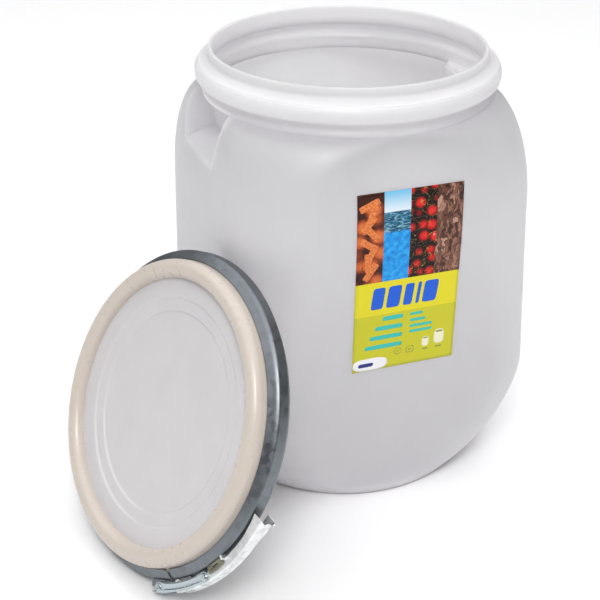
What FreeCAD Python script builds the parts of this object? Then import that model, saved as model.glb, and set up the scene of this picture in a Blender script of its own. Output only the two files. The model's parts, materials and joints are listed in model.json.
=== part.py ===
import FreeCAD, Part
import math
import os

from FreeCAD import Placement, Rotation, Vector

# Open head drum, blow-moulded, with a lid and a lever-lock clamp ring.
# Row frame: origin at the middle of the drum's base, +Z up, faces square to X and Y.
# The drum stands open. The lid leans on the drum, outer face outwards, with its ring on.
# Millimetres throughout.

# ---- drum body: a rounded square that blends into a round base and a round neck ----
DRUM_HEIGHT = 540.0
WALL = 3.5
FLOOR = 4.5
BASE_RADIUS = 171.0
BASE_EDGE_RADIUS = 7.0
BASE_CORNER = 197.0
BASE_FULLNESS = 1.45
KINK_Z = 160.0
KINK_HALF = 188.0
KINK_CORNER = 54.0
SHOULDER_Z = 354.0
SHOULDER_HALF = 193.0
SHOULDER_CORNER = 99.0
SHOULDER_FULLNESS = 2.1
BASE_RECESS_RADIUS = 138.0
BASE_RECESS_DEPTH = 5.0
BASE_RECESS_DRAFT = 6.0

# ---- neck, bead and mouth rim ----
NECK_RADIUS = 172.0
NECK_Z = 487.0
NECK_FLARE = 3.5
NECK_FLARE_HEIGHT = 8.0
BEAD_RADIUS = 184.0
BEAD_BOTTOM_Z = 503.5
BEAD_MIDDLE_Z = 511.5
BEAD_TOP_Z = 522.5
RIM_RADIUS = 167.1
RIM_WALL = 4.0
RIM_BAND_Z = 517.0
LIP_RADIUS = 2.0

# ---- hand grips: recesses under the neck in the -X and +X faces ----
GRIP_BACK_X = 155.0
GRIP_FRONT_X = 190.0
GRIP_CUT_X = 215.0
GRIP_BACK_HALF = 45.0
GRIP_TOP_HALF = 78.0
GRIP_SILL_HALF = 56.0
GRIP_BACK_SILL_Z = 441.0
GRIP_SILL_Z = 425.0
GRIP_ROUNDING = 5.0

# ---- label on the -Y face ----
LABEL_WIDTH = 130.0
LABEL_HEIGHT = 229.0
LABEL_MIDDLE = (3.0, 314.0)
LABEL_THICKNESS = 0.3
LABEL_GAP = 0.05
LABEL_CUT_DEPTH = 60.0
LABEL_CUT_START = 10.0

# ---- lid: radii about its axis, heights above the ring's middle plane ----
BEAD_CENTRE_RADIUS = 166.0
BEAD_CENTRE_T = 20.0
LID_BEAD_RADIUS = 11.0
LID_WALL = 3.5
LID_SKIRT_T = 5.5
LID_FLANGE_RADIUS = 181.5
LID_FLANGE_T = 10.3
LID_PLUG_T = 2.0
PANEL_T = 17.5
PANEL_WALL = 3.0
PANEL_STEPS = (133.0, 118.0)
PANEL_STEP_DROP = 2.5
PANEL_STEP_RUN = 2.0
GASKET_CLEARANCE = 0.05
GASKET_FACE_T = 22.5

# ---- clamp ring ----
SHEET = 1.2
HOOP_RADIUS = 189.7
HOOP_WALL_HALF = 6.6
HOOP_FOLD = (186.9, 9.2)
UPPER_LIP = (178.3, 14.2)
LOWER_LIP = (182.9, 14.2)
LIP_EDGE_SHIFT = (0.7, 1.0)
GAP_ANGLE = -55.6
GAP_WIDTH_DEG = 1.1

# ---- ring closure: angles about the lid's axis, -90 is the lowest point ----
LUG_ANGLE = -62.2
PIVOT_ANGLE = -52.3
LINK_PIN_ANGLE = -38.6
LEVER_END_ANGLE = -6.4
LEVER_FLARE_ANGLE = -17.0
PIN_RADIUS_FROM_AXIS = 198.0
PIVOT_RADIUS_FROM_AXIS = 197.5
PIN_R = 2.6
HEAD_R = 4.6
HEAD_HEIGHT = 1.5
TUBE_HOLE_R = 1.5
RUNNING_GAP = 0.05
EAR_HALF = 6.1
LEVER_HALF = 7.5
LINK_HALF = 8.9
LEVER_INNER_R = 194.6
LEVER_OUTER_R = 205.2
LEVER_WEB_START = -46.5
LEVER_FLARE_HALF = 10.2
LEVER_FLARE_OUT = 3.0
LINK_INNER_R = 192.4
LINK_OUTER_R = 204.4
LINK_END_R = 6.2
LINK_WEB_SPAN = (-65.4, -57.4)
LUG_SLOT_CLEARANCE = 0.4
LUG_SLOT_DIRECTION = -44.0
LUG_REACH = 4.9
LUG_FOOT = (-4.0, 7.0)
PIVOT_REACH = 5.0
PIVOT_FOOT = (-1.4, 8.0)
HEAD_BEVEL = 1.4
TONGUE_THICKNESS = 0.8
TONGUE_HALF = 4.6
TONGUE_SPAN = (-6.0, 11.0)
SEAL_SPAN = (2.8, 7.4)
SEAL_FOOT_T = 1.0
SEAL_FLANGE_T = 8.0
SEAL_FLANGE_REACH = 9.5
SEAL_SLOT = (3.6, 6.4)
SEAL_SLOT_SPAN = (5.0, 3.2)
TAB_SPAN = (-27.6, 1.2)
TAB_REACH = (-3.2, 2.4)
TAB_T = (6.9, 14.0)
FINGER_LIP = 4.0
FINGER_LIP_SPAN = 0.36
THROUGH = 20.0

# ---- where the lid leans: centre of the ring's middle plane, and its outward axis ----
LEAN_CENTRE = Vector(-273.9, -161.1, 174.2)
LEAN_AZIMUTH = -163.0
LEAN_ELEVATION = 25.6


def point_rz(r, z):
    """A point of a profile: r from the axis, z along it."""
    return Vector(r, 0, z)


def outline(start, *steps):
    """A closed profile. A step is the next corner, or an arc's middle and end."""
    here = point_rz(*start)
    edges = []
    for step in steps:
        if isinstance(step[0], tuple):
            middle, end = (point_rz(*p) for p in step)
            edges.append(Part.Arc(here, middle, end).toShape())
        else:
            end = point_rz(*step)
            edges.append(Part.LineSegment(here, end).toShape())
        here = end
    edges.append(Part.LineSegment(here, point_rz(*start)).toShape())
    return Part.Face(Part.Wire(edges))


def section_box(inner, outer, low, high):
    """A rectangular profile between two radii and two heights."""
    return outline((inner, low), (outer, low), (outer, high), (inner, high))


def turned(face, first=0.0, span=360.0):
    """The solid that a profile sweeps about the Z axis, from first through span degrees."""
    placed = face.copy()
    placed.rotate(Vector(0, 0, 0), Vector(0, 0, 1), first)
    return placed.revolve(Vector(0, 0, 0), Vector(0, 0, 1), span)


def polar(radius, degrees, t=0.0):
    """A point of the ring's own frame, given by radius and angle."""
    turn = math.radians(degrees)
    return Vector(radius * math.cos(turn), radius * math.sin(turn), t)


def plate(radius, thickness, centre, t):
    """A round plate across the ring's axis, with its lower face at t."""
    return Part.makeCylinder(radius, thickness, Vector(centre.x, centre.y, t))


def bar(radius, half, centre):
    """A round bar along the ring's axis, centred on its middle plane."""
    return plate(radius, 2 * half, centre, -half)


def fused(pieces):
    """One solid from pieces that overlap or touch."""
    whole = pieces[0].multiFuse(pieces[1:])
    return whole.removeSplitter()


# ---------------------------------------------------------------- drum

def rounded_square(half, corner, z):
    """A square with round corners: four sides and four arcs."""
    corner = min(corner, half - 0.5)
    flat = half - corner
    edges = []
    for quarter in range(4):
        turn = Rotation(Vector(0, 0, 1), 90 * quarter)
        side = [turn.multVec(Vector(half, y, z)) for y in (-flat, flat)]
        diagonal = flat + corner * math.sqrt(0.5)
        bend = turn.multVec(Vector(diagonal, diagonal, z))
        after = turn.multVec(Vector(flat, half, z))
        edges.append(Part.LineSegment(*side).toShape())
        edges.append(Part.Arc(side[1], bend, after).toShape())
    return Part.Wire(edges)


def lower_size(share):
    """Half width and corner radius below the kink, share 0 at the base and 1 at the kink."""
    grown = (1 - (1 - share) ** BASE_FULLNESS) ** (1 / BASE_FULLNESS)
    half = BASE_RADIUS + (KINK_HALF - BASE_RADIUS) * grown
    corner = BASE_CORNER + (KINK_CORNER - BASE_CORNER) * grown
    height = share * KINK_Z
    if height < BASE_EDGE_RADIUS:
        rise = BASE_EDGE_RADIUS - height
        half -= BASE_EDGE_RADIUS - math.sqrt(BASE_EDGE_RADIUS ** 2 - rise ** 2)
    return half, corner


def upper_size(share):
    """Half width and corner radius over the shoulder, share 1 at the neck."""
    fallen = 1 - (1 - share ** SHOULDER_FULLNESS) ** (1 / SHOULDER_FULLNESS)
    half = SHOULDER_HALF + (NECK_RADIUS - SHOULDER_HALF) * fallen
    corner = SHOULDER_CORNER + (NECK_RADIUS - SHOULDER_CORNER) * fallen
    return half, corner


def body_solid(inset, bottom_z, top_z):
    """The body in bands: straight-sided at the base edge and neck, smooth lofts between."""
    def lower(share):
        half, corner = lower_size(share)
        return rounded_square(half - inset, corner - inset, bottom_z + share * (KINK_Z - bottom_z))

    def upper(share):
        half, corner = upper_size(share)
        return rounded_square(half - inset, corner - inset, SHOULDER_Z + share * (top_z - SHOULDER_Z))

    base_edge = [lower(share) for share in (0.0, 0.01, 0.025, 0.05)]
    flank = [lower(share) for share in (0.05, 0.2, 0.4, 0.6, 0.8, 1.0)]
    side = [lower(1.0), upper(0.0)]
    shoulder = [upper(share) for share in (0.0, 0.2, 0.4, 0.6, 0.78, 0.92)]
    neck_edge = [upper(share) for share in (0.92, 0.965, 0.99, 1.0)]
    bands = [(base_edge, True), (flank, False), (side, True), (shoulder, False), (neck_edge, True)]
    return fused([Part.makeLoft(wires, True, straight) for wires, straight in bands])


def outer_collar():
    """Neck, bead and mouth rim, as a solid that reaches down inside the shoulder."""
    flare = NECK_RADIUS + NECK_FLARE
    lip = RIM_RADIUS - LIP_RADIUS
    low = NECK_Z - 12
    return turned(outline(
        (0, low),
        (flare, low),
        (flare, NECK_Z),
        ((NECK_RADIUS + 0.9, NECK_Z + 3), (NECK_RADIUS, NECK_Z + NECK_FLARE_HEIGHT)),
        (NECK_RADIUS, BEAD_BOTTOM_Z - 5),
        ((NECK_RADIUS + 1.3, BEAD_BOTTOM_Z - 2), (NECK_RADIUS + 4.5, BEAD_BOTTOM_Z - 1)),
        (BEAD_RADIUS - 3, BEAD_BOTTOM_Z),
        ((BEAD_RADIUS, BEAD_MIDDLE_Z), (BEAD_RADIUS - 1.6, BEAD_TOP_Z - 4)),
        (BEAD_RADIUS - 3.4, BEAD_TOP_Z - 0.7),
        (BEAD_RADIUS - 3.8, BEAD_TOP_Z + 0.3),
        ((RIM_RADIUS + 4, BEAD_TOP_Z + 3.6), (RIM_RADIUS, BEAD_TOP_Z + 8.5)),
        (RIM_RADIUS, DRUM_HEIGHT - LIP_RADIUS),
        ((RIM_RADIUS - 0.6, DRUM_HEIGHT - 0.6), (lip + 0.2, DRUM_HEIGHT)),
        (0, DRUM_HEIGHT),
    ))


def inner_collar():
    """The hollow of neck, bead and mouth, running out above the rim."""
    inner_neck = NECK_RADIUS - WALL
    inner_rim = RIM_RADIUS - RIM_WALL
    lip = RIM_RADIUS - LIP_RADIUS
    low = NECK_Z - 17
    return turned(outline(
        (0, low),
        (inner_neck, low),
        (inner_neck, BEAD_BOTTOM_Z - 4),
        ((inner_neck + 5, BEAD_BOTTOM_Z + 0.5), (inner_neck + 8, BEAD_BOTTOM_Z + 5)),
        ((inner_neck + 6.6, BEAD_MIDDLE_Z + 1.8), (inner_rim + 2, RIM_BAND_Z - 1)),
        (inner_rim, RIM_BAND_Z),
        (inner_rim, DRUM_HEIGHT - LIP_RADIUS),
        ((inner_rim + 0.6, DRUM_HEIGHT - 0.6), (lip - 0.2, DRUM_HEIGHT)),
        (lip - 0.2, DRUM_HEIGHT + 5),
        (0, DRUM_HEIGHT + 5),
    ))


def base_recess(grown):
    """The shallow drafted recess under the base, grown to make its inner side."""
    inner = BASE_RECESS_RADIUS - BASE_RECESS_DRAFT + grown
    depth = BASE_RECESS_DEPTH + grown
    return Part.makeCone(inner + BASE_RECESS_DRAFT, inner, depth)


def grip_pocket(grown):
    """A tapered pocket: narrow and upright at the back, wide and sloping at the front."""
    reach = (GRIP_CUT_X - GRIP_BACK_X) / (GRIP_FRONT_X - GRIP_BACK_X)
    top_half = GRIP_BACK_HALF + (GRIP_TOP_HALF - GRIP_BACK_HALF) * reach + grown
    sill_half = GRIP_BACK_HALF + (GRIP_SILL_HALF - GRIP_BACK_HALF) * reach + grown
    sill_z = GRIP_BACK_SILL_Z + (GRIP_SILL_Z - GRIP_BACK_SILL_Z) * reach - grown
    top_z = NECK_Z + grown
    back_half = GRIP_BACK_HALF + grown
    back_x = GRIP_BACK_X - grown
    back = [(back_x, -back_half, GRIP_BACK_SILL_Z - grown), (back_x, back_half, GRIP_BACK_SILL_Z - grown),
            (back_x, back_half, top_z), (back_x, -back_half, top_z)]
    front = [(GRIP_CUT_X, -sill_half, sill_z), (GRIP_CUT_X, sill_half, sill_z),
             (GRIP_CUT_X, top_half, top_z), (GRIP_CUT_X, -top_half, top_z)]
    wires = []
    for corners in (back, front):
        points = [Vector(*corner) for corner in corners]
        wires.append(Part.makePolygon(points + points[:1]))
    pocket = Part.makeLoft(wires, True, True)
    inner_edges = [edge for edge in pocket.Edges if min(v.X for v in edge.Vertexes) < back_x + 0.1]
    sunk = [edge for edge in inner_edges if min(v.Z for v in edge.Vertexes) < top_z - 1]
    return pocket.makeFillet(GRIP_ROUNDING + grown, sunk)


def both_sides(shape):
    """The same shape on the +X and the -X face."""
    twin = shape.copy()
    twin.rotate(Vector(0, 0, 0), Vector(0, 0, 1), 180)
    return [shape, twin]


def drum_shell():
    outside = fused([body_solid(0, 0, NECK_Z), outer_collar()])
    hollow = fused([body_solid(WALL, FLOOR, NECK_Z - WALL), inner_collar()])
    outside = outside.cut(base_recess(0)).cut(Part.makeCompound(both_sides(grip_pocket(0))))
    hollow = hollow.cut(base_recess(FLOOR)).cut(Part.makeCompound(both_sides(grip_pocket(WALL))))
    return outside.cut(hollow)


def label():
    """A thin rectangular sheet that follows the -Y face."""
    middle_x, middle_z = LABEL_MIDDLE
    start_y = -SHOULDER_HALF - LABEL_CUT_START
    corner = Vector(middle_x - LABEL_WIDTH / 2, start_y, middle_z - LABEL_HEIGHT / 2)
    window = Part.makeBox(LABEL_WIDTH, LABEL_CUT_DEPTH, LABEL_HEIGHT, corner)
    front = body_solid(-LABEL_GAP - LABEL_THICKNESS, 0, NECK_Z)
    back = body_solid(-LABEL_GAP, 0, NECK_Z)
    return window.common(front).cut(back)


# ---------------------------------------------------------------- lid, in the ring's frame

def lid_rim():
    """A U section that caps the mouth rim: round bead on top, skirt with a flange outside."""
    inner = BEAD_CENTRE_RADIUS - LID_BEAD_RADIUS
    outer = BEAD_CENTRE_RADIUS + LID_BEAD_RADIUS
    hollow_r = LID_BEAD_RADIUS - LID_WALL
    top_t = BEAD_CENTRE_T + LID_BEAD_RADIUS
    return turned(outline(
        (inner, LID_PLUG_T),
        (inner, BEAD_CENTRE_T),
        ((BEAD_CENTRE_RADIUS, top_t), (outer, BEAD_CENTRE_T)),
        (outer, LID_FLANGE_T + 2.6),
        (LID_FLANGE_RADIUS, LID_FLANGE_T),
        (LID_FLANGE_RADIUS, LID_SKIRT_T),
        (BEAD_CENTRE_RADIUS + hollow_r, LID_SKIRT_T),
        (BEAD_CENTRE_RADIUS + hollow_r, BEAD_CENTRE_T),
        ((BEAD_CENTRE_RADIUS, BEAD_CENTRE_T + hollow_r), (BEAD_CENTRE_RADIUS - hollow_r, BEAD_CENTRE_T)),
        (BEAD_CENTRE_RADIUS - hollow_r, LID_PLUG_T),
    ))


def lid_panel():
    """A disc that steps down twice towards its middle."""
    edge = BEAD_CENTRE_RADIUS - LID_BEAD_RADIUS
    top = [(edge, PANEL_T)]
    level = PANEL_T
    for radius in PANEL_STEPS:
        top.append((radius, level))
        level -= PANEL_STEP_DROP
        top.append((radius - PANEL_STEP_RUN, level))
    top.append((0, level))
    under = [(r, t - PANEL_WALL) for r, t in reversed(top)]
    return turned(outline(top[0], *top[1:], *under))


def lid_gasket():
    """A D section of foam rubber that lines the top of the lid's channel."""
    radius = LID_BEAD_RADIUS - LID_WALL - GASKET_CLEARANCE
    drop = GASKET_FACE_T - BEAD_CENTRE_T
    half = math.sqrt(radius ** 2 - drop ** 2)
    return turned(outline(
        (BEAD_CENTRE_RADIUS - half, GASKET_FACE_T),
        ((BEAD_CENTRE_RADIUS, BEAD_CENTRE_T + radius), (BEAD_CENTRE_RADIUS + half, GASKET_FACE_T)),
    ))


# ---------------------------------------------------------------- clamp ring, in its own frame

def clamp_hoop():
    """A split hoop of folded sheet: upright wall, and a lip leaning in on either side."""
    shift_r, shift_t = LIP_EDGE_SHIFT
    fold_r, fold_t = HOOP_FOLD
    inside = HOOP_RADIUS - SHEET
    profile = outline(
        UPPER_LIP,
        (fold_r, fold_t),
        (HOOP_RADIUS, HOOP_WALL_HALF),
        (HOOP_RADIUS, -HOOP_WALL_HALF),
        (fold_r, -fold_t),
        (LOWER_LIP[0], -LOWER_LIP[1]),
        (LOWER_LIP[0] - shift_r, -LOWER_LIP[1] + shift_t),
        (fold_r - shift_r - 0.2, -fold_t + shift_t),
        (inside, -HOOP_WALL_HALF + 0.6),
        (inside, HOOP_WALL_HALF - 0.6),
        (fold_r - shift_r - 0.2, fold_t - shift_t),
        (UPPER_LIP[0] - shift_r, UPPER_LIP[1] - shift_t),
    )
    return turned(profile, GAP_ANGLE + GAP_WIDTH_DEG / 2, 360 - GAP_WIDTH_DEG)


def gap_tongue():
    """A curved strip inside the hoop that carries its wall across the gap."""
    outer = HOOP_RADIUS - SHEET - RUNNING_GAP
    inner = outer - TONGUE_THICKNESS
    strip = section_box(inner, outer, -TONGUE_HALF, TONGUE_HALF)
    return turned(strip, GAP_ANGLE + TONGUE_SPAN[0], TONGUE_SPAN[1])


def ears(half, centre, reach, first, span):
    """Two plates across the axis, joined by a foot that lies on the hoop's wall."""
    foot = section_box(HOOP_RADIUS, HOOP_RADIUS + SHEET, -half, half)
    pieces = [turned(foot, first, span)]
    for low in (-half, half - SHEET):
        wing = section_box(HOOP_RADIUS, centre.Length, low, low + SHEET)
        pieces.append(turned(wing, first, span))
        pieces.append(plate(reach, SHEET, centre, low))
    return fused(pieces)


def lug_bracket():
    """The ears on the hoop's left end, with slots that open outwards for the link's pin."""
    centre = polar(PIN_RADIUS_FROM_AXIS, LUG_ANGLE)
    body = ears(LEVER_HALF, centre, LUG_REACH, LUG_ANGLE + LUG_FOOT[0], LUG_FOOT[1])
    slot_half = PIN_R + LUG_SLOT_CLEARANCE
    slot = Part.makeBox(THROUGH, 2 * slot_half, 2 * THROUGH, Vector(0, -slot_half, -THROUGH))
    slot = slot.fuse(Part.makeCylinder(slot_half, 2 * THROUGH, Vector(0, 0, -THROUGH)))
    slot.Placement = Placement(centre, Rotation(Vector(0, 0, 1), LUG_SLOT_DIRECTION))
    return body.cut(slot)


def pivot_bracket():
    """The ears on the hoop's right end that hold the lever's pivot pin."""
    centre = polar(PIVOT_RADIUS_FROM_AXIS, PIVOT_ANGLE)
    body = ears(EAR_HALF, centre, PIVOT_REACH, PIVOT_ANGLE + PIVOT_FOOT[0], PIVOT_FOOT[1])
    return body.cut(bar(PIN_R, THROUGH, centre))


def pivot_pin():
    """A flush pin through the pivot bracket and the lever."""
    return bar(PIN_R, LEVER_HALF, polar(PIVOT_RADIUS_FROM_AXIS, PIVOT_ANGLE))


def seal_bracket():
    """An angle plate beside the lever, slotted for a lead seal or a padlock."""
    out = HOOP_RADIUS + SHEET
    far = HOOP_RADIUS + SEAL_FLANGE_REACH
    top = SEAL_FLANGE_T + SHEET
    section = outline(
        (HOOP_RADIUS, SEAL_FOOT_T), (out, SEAL_FOOT_T), (out, SEAL_FLANGE_T),
        (far, SEAL_FLANGE_T), (far, top), (HOOP_RADIUS, top),
    )
    bracket = turned(section, LINK_PIN_ANGLE + SEAL_SPAN[0], SEAL_SPAN[1])
    slot_in, slot_out = (HOOP_RADIUS + reach for reach in SEAL_SLOT)
    slot = section_box(slot_in, slot_out, SEAL_FLANGE_T - 1, top + 1)
    return bracket.cut(turned(slot, LINK_PIN_ANGLE + SEAL_SLOT_SPAN[0], SEAL_SLOT_SPAN[1]))


# ---------------------------------------------------------------- lever

def lever_section(out, half, degrees):
    """One U section of the lever at an angle: web outside, open towards the hoop."""
    shape = [
        (LEVER_INNER_R, half), (LEVER_OUTER_R + out - 1, half), (LEVER_OUTER_R + out, half - 1),
        (LEVER_OUTER_R + out, 1 - half), (LEVER_OUTER_R + out - 1, -half), (LEVER_INNER_R, -half),
        (LEVER_INNER_R, SHEET - half), (LEVER_OUTER_R + out - SHEET, SHEET - half),
        (LEVER_OUTER_R + out - SHEET, half - SHEET), (LEVER_INNER_R, half - SHEET),
    ]
    points = [polar(r, degrees, t) for r, t in shape]
    return Part.makePolygon(points + points[:1])


def lever():
    """A curved channel over the pivot bracket, flared to a finger lip at its free end."""
    straight = LEVER_FLARE_ANGLE - LEVER_WEB_START
    web = Part.Face(lever_section(0, LEVER_HALF, 0))
    channel = turned(web, LEVER_WEB_START, straight)
    flare = Part.makeLoft([
        lever_section(0, LEVER_HALF, LEVER_FLARE_ANGLE),
        lever_section(LEVER_FLARE_OUT, LEVER_FLARE_HALF, LEVER_END_ANGLE),
    ], True, True)
    lip_r = LEVER_OUTER_R + LEVER_FLARE_OUT
    lip = section_box(lip_r - SHEET, lip_r + FINGER_LIP, -LEVER_FLARE_HALF, LEVER_FLARE_HALF)
    lip = turned(lip, LEVER_END_ANGLE - FINGER_LIP_SPAN, FINGER_LIP_SPAN)
    pieces = [channel, flare, lip]
    pivot = polar(PIVOT_RADIUS_FROM_AXIS, PIVOT_ANGLE)
    end_r = LEVER_OUTER_R - PIVOT_RADIUS_FROM_AXIS
    for low in (-LEVER_HALF, LEVER_HALF - SHEET):
        band = section_box(LEVER_INNER_R, LEVER_OUTER_R, low, low + SHEET)
        pieces.append(turned(band, PIVOT_ANGLE, LEVER_WEB_START - PIVOT_ANGLE))
        pieces.append(plate(end_r, SHEET, pivot, low))
    tab_in, tab_out = (LEVER_INNER_R + reach for reach in TAB_REACH)
    pieces.append(turned(section_box(tab_in, tab_out, *TAB_T), *TAB_SPAN))
    body = fused(pieces)
    body = body.cut(bar(PIN_R + RUNNING_GAP, THROUGH, pivot))
    return body.cut(bar(PIN_R, THROUGH, polar(PIN_RADIUS_FROM_AXIS, LINK_PIN_ANGLE)))


def headed_pin(angle):
    """A rivet through the link: a shank with a low domed head outside each arm."""
    centre = polar(PIN_RADIUS_FROM_AXIS, angle)
    pieces = [bar(PIN_R, LINK_HALF, centre)]
    for side in (1, -1):
        face = Vector(centre.x, centre.y, side * LINK_HALF)
        crown = Part.makeCone(HEAD_R, HEAD_R - HEAD_BEVEL, HEAD_HEIGHT, face, Vector(0, 0, side))
        pieces.append(crown)
    return fused(pieces)


def link_pin():
    return headed_pin(LINK_PIN_ANGLE)


# ---------------------------------------------------------------- link

def lug_pin():
    """The tubular rivet at the link's free end."""
    centre = polar(PIN_RADIUS_FROM_AXIS, LUG_ANGLE)
    return headed_pin(LUG_ANGLE).cut(bar(TUBE_HOLE_R, THROUGH, centre))


def tension_link():
    """Two curved arms outside the lever's flanges, joined by a web beyond the hoop's gap."""
    ends = (LUG_ANGLE, LINK_PIN_ANGLE)
    pieces = []
    for low in (-LINK_HALF, LINK_HALF - SHEET):
        arm = section_box(LINK_INNER_R, LINK_OUTER_R - 1, low, low + SHEET)
        pieces.append(turned(arm, ends[0], ends[1] - ends[0]))
        for angle in ends:
            pieces.append(plate(LINK_END_R, SHEET, polar(PIN_RADIUS_FROM_AXIS, angle), low))
    web = section_box(LINK_OUTER_R - SHEET, LINK_OUTER_R, -LINK_HALF, LINK_HALF)
    pieces.append(turned(web, LINK_WEB_SPAN[0], LINK_WEB_SPAN[1] - LINK_WEB_SPAN[0]))
    body = fused(pieces)
    body = body.cut(bar(PIN_R, THROUGH, polar(PIN_RADIUS_FROM_AXIS, LUG_ANGLE)))
    return body.cut(bar(PIN_R + RUNNING_GAP, THROUGH, polar(PIN_RADIUS_FROM_AXIS, LINK_PIN_ANGLE)))


# ---------------------------------------------------------------- placing and writing

def leaning_placement():
    """From the ring's own frame to where the lid leans: its X runs level, its Y up the slope."""
    azimuth = math.radians(LEAN_AZIMUTH)
    elevation = math.radians(LEAN_ELEVATION)
    level = math.cos(elevation)
    axis = Vector(level * math.cos(azimuth), level * math.sin(azimuth), math.sin(elevation))
    across = Vector(0, 0, 1).cross(axis).normalize()
    return Placement(LEAN_CENTRE, Rotation(across, axis.cross(across), axis, "ZXY"))


STANDING = (drum_shell, label)
LEANING = (lid_rim, lid_panel, lid_gasket, clamp_hoop, gap_tongue, lug_bracket, pivot_bracket,
           pivot_pin, seal_bracket, lever, link_pin, tension_link, lug_pin)


def write(make, placement):
    shape = make()
    solid = shape.Solids[0] if len(shape.Solids) == 1 else shape
    solid.Placement = placement.multiply(solid.Placement)
    assert solid.isValid() and len(shape.Solids) == 1, make.__name__
    solid.exportStep("parts/" + make.__name__ + ".step")
    print(make.__name__, round(solid.Volume / 1000, 2), "cm3")


def main():
    os.makedirs("parts", exist_ok=True)
    for make in STANDING:
        write(make, Placement())
    for make in LEANING:
        write(make, leaning_placement())


main()
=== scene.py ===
import json
import math

import bpy
import numpy as np
from mathutils import Matrix, Vector


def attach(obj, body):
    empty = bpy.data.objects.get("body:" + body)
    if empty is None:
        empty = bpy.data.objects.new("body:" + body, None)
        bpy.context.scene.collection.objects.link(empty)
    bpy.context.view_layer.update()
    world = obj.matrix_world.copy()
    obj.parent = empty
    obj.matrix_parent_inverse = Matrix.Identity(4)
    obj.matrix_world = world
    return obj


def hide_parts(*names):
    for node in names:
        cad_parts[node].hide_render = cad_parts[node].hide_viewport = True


bl_info = {
    "name": "Open Head Drum",
    "version": (1, 0, 0),
    "blender": (4, 5, 0),
    "location": "View3D > Sidebar > Drum",
    "description": "A blow-moulded open head drum with its lid, lever-lock clamp ring and label",
    "category": "Add Mesh",
}

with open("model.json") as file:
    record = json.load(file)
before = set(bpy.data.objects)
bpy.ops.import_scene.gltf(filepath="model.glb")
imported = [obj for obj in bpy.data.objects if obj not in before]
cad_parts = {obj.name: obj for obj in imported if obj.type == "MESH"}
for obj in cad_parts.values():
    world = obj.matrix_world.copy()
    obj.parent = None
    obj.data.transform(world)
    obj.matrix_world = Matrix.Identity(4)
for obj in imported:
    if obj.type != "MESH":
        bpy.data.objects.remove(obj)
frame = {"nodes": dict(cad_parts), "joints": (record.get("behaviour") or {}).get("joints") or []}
RING_AXIS = np.array(next(j["axis"] for j in frame["joints"] if j["name"] == "ring_off"), float)
MM = 0.001


def linear(code):
    """The linear colour of an sRGB hex code: each channel through the sRGB curve."""
    channels = np.array([int(code[i:i + 2], 16) for i in (1, 3, 5)]) / 255
    bright = np.where(channels <= 0.04045, channels / 12.92, ((channels + 0.055) / 1.055) ** 2.4)
    return (*(float(c) for c in bright), 1.0)


def length(name, description, default):
    """A size in metres, given here in millimetres."""
    return bpy.props.FloatProperty(name=name, description=description, default=default * MM,
                                   unit="LENGTH", precision=5)


def angle(name, description, default):
    """An angle about the lid's axis, given in degrees, with -90 at the lowest point."""
    return bpy.props.FloatProperty(name=name, description=description, subtype="ANGLE",
                                   default=math.radians(default))


def colour(name, description, code):
    """A colour, given as an sRGB hex code."""
    return bpy.props.FloatVectorProperty(name=name, description=description, subtype="COLOR",
                                         size=4, min=0, max=1, default=linear(code))


class DrumSizes(bpy.types.PropertyGroup):
    """The moulded body, its collar and its grips."""
    height: length("Height", "From the floor to the mouth rim", 540)
    base_radius: length("Base radius", "Radius of the round base", 171)
    base_edge: length("Base edge", "Radius of the rounded edge at the floor", 7)
    waist_z: length("Waist height", "Where the body is most square", 160)
    waist_half: length("Waist half width", "Half the width at the waist", 188)
    waist_corner: length("Waist corner", "Corner radius at the waist", 54)
    shoulder_z: length("Shoulder height", "Where the shoulder starts", 354)
    shoulder_half: length("Shoulder half width", "Half the width at the shoulder", 193)
    shoulder_corner: length("Shoulder corner", "Corner radius at the shoulder", 99)
    neck_z: length("Neck height", "Where the shoulder meets the neck", 487)
    neck_radius: length("Neck radius", "Outer radius of the neck", 172)
    bead_radius: length("Bead radius", "Outer radius of the bead under the rim", 184)
    rim_radius: length("Rim radius", "Outer radius of the mouth rim", 167.1)
    wall: length("Wall", "Thickness of the moulded wall", 3.5)
    grip_back: length("Grip depth", "Distance of a grip's back wall from the axis", 155)
    grip_half: length("Grip back half width", "Half the width of a grip's back wall", 45)
    grip_sill: length("Grip sill", "Height of a grip's sill at its back wall", 441)
    grip_run: length("Grip run", "From a grip's back wall out to its opening", 35)
    grip_drop: length("Grip drop", "How far the sill falls over that run", 16)
    grip_splay_low: length("Low splay", "How far a side wall spreads over that run at the sill", 11)
    grip_splay_high: length("High splay", "How far a side wall spreads over that run at the neck", 33)
    grip_edge: length("Grip edge", "Softness of a grip's outer edges", 4)


class LabelSizes(bpy.types.PropertyGroup):
    """The label on the -Y face."""
    width: length("Width", "Width of the label", 130)
    height: length("Height", "Height of the label", 229)
    middle_x: length("Middle across", "Middle of the label, left to right", 3)
    middle_z: length("Middle up", "Middle of the label, above the floor", 314)
    lift: length("Lift", "How far the film's face stands off the wall", 0.3)
    film: length("Film", "Thickness of the film", 0.2)


class LidSizes(bpy.types.PropertyGroup):
    """The lid's rim and panel, about the ring's axis."""
    centre: bpy.props.FloatVectorProperty(
        name="Centre", description="Middle of the ring's middle plane, where the lid leans",
        default=(-0.2739, -0.1611, 0.1742), subtype="TRANSLATION", unit="LENGTH", precision=5)
    bead_centre: length("Bead centre", "Radius of the middle of the round bead", 166)
    bead: length("Bead", "Radius of the bead's section", 11)
    bead_t: length("Bead height", "Bead's middle above the ring's middle plane", 20)
    panel_t: length("Panel height", "Panel's top above the ring's middle plane", 17.5)
    step_one: length("First step", "Radius of the panel's first step", 133)
    step_two: length("Second step", "Radius of the panel's second step", 118)
    step_drop: length("Step drop", "How far each step goes down", 2.5)
    flange: length("Flange", "Outer radius of the skirt's flange", 181.5)


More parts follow.
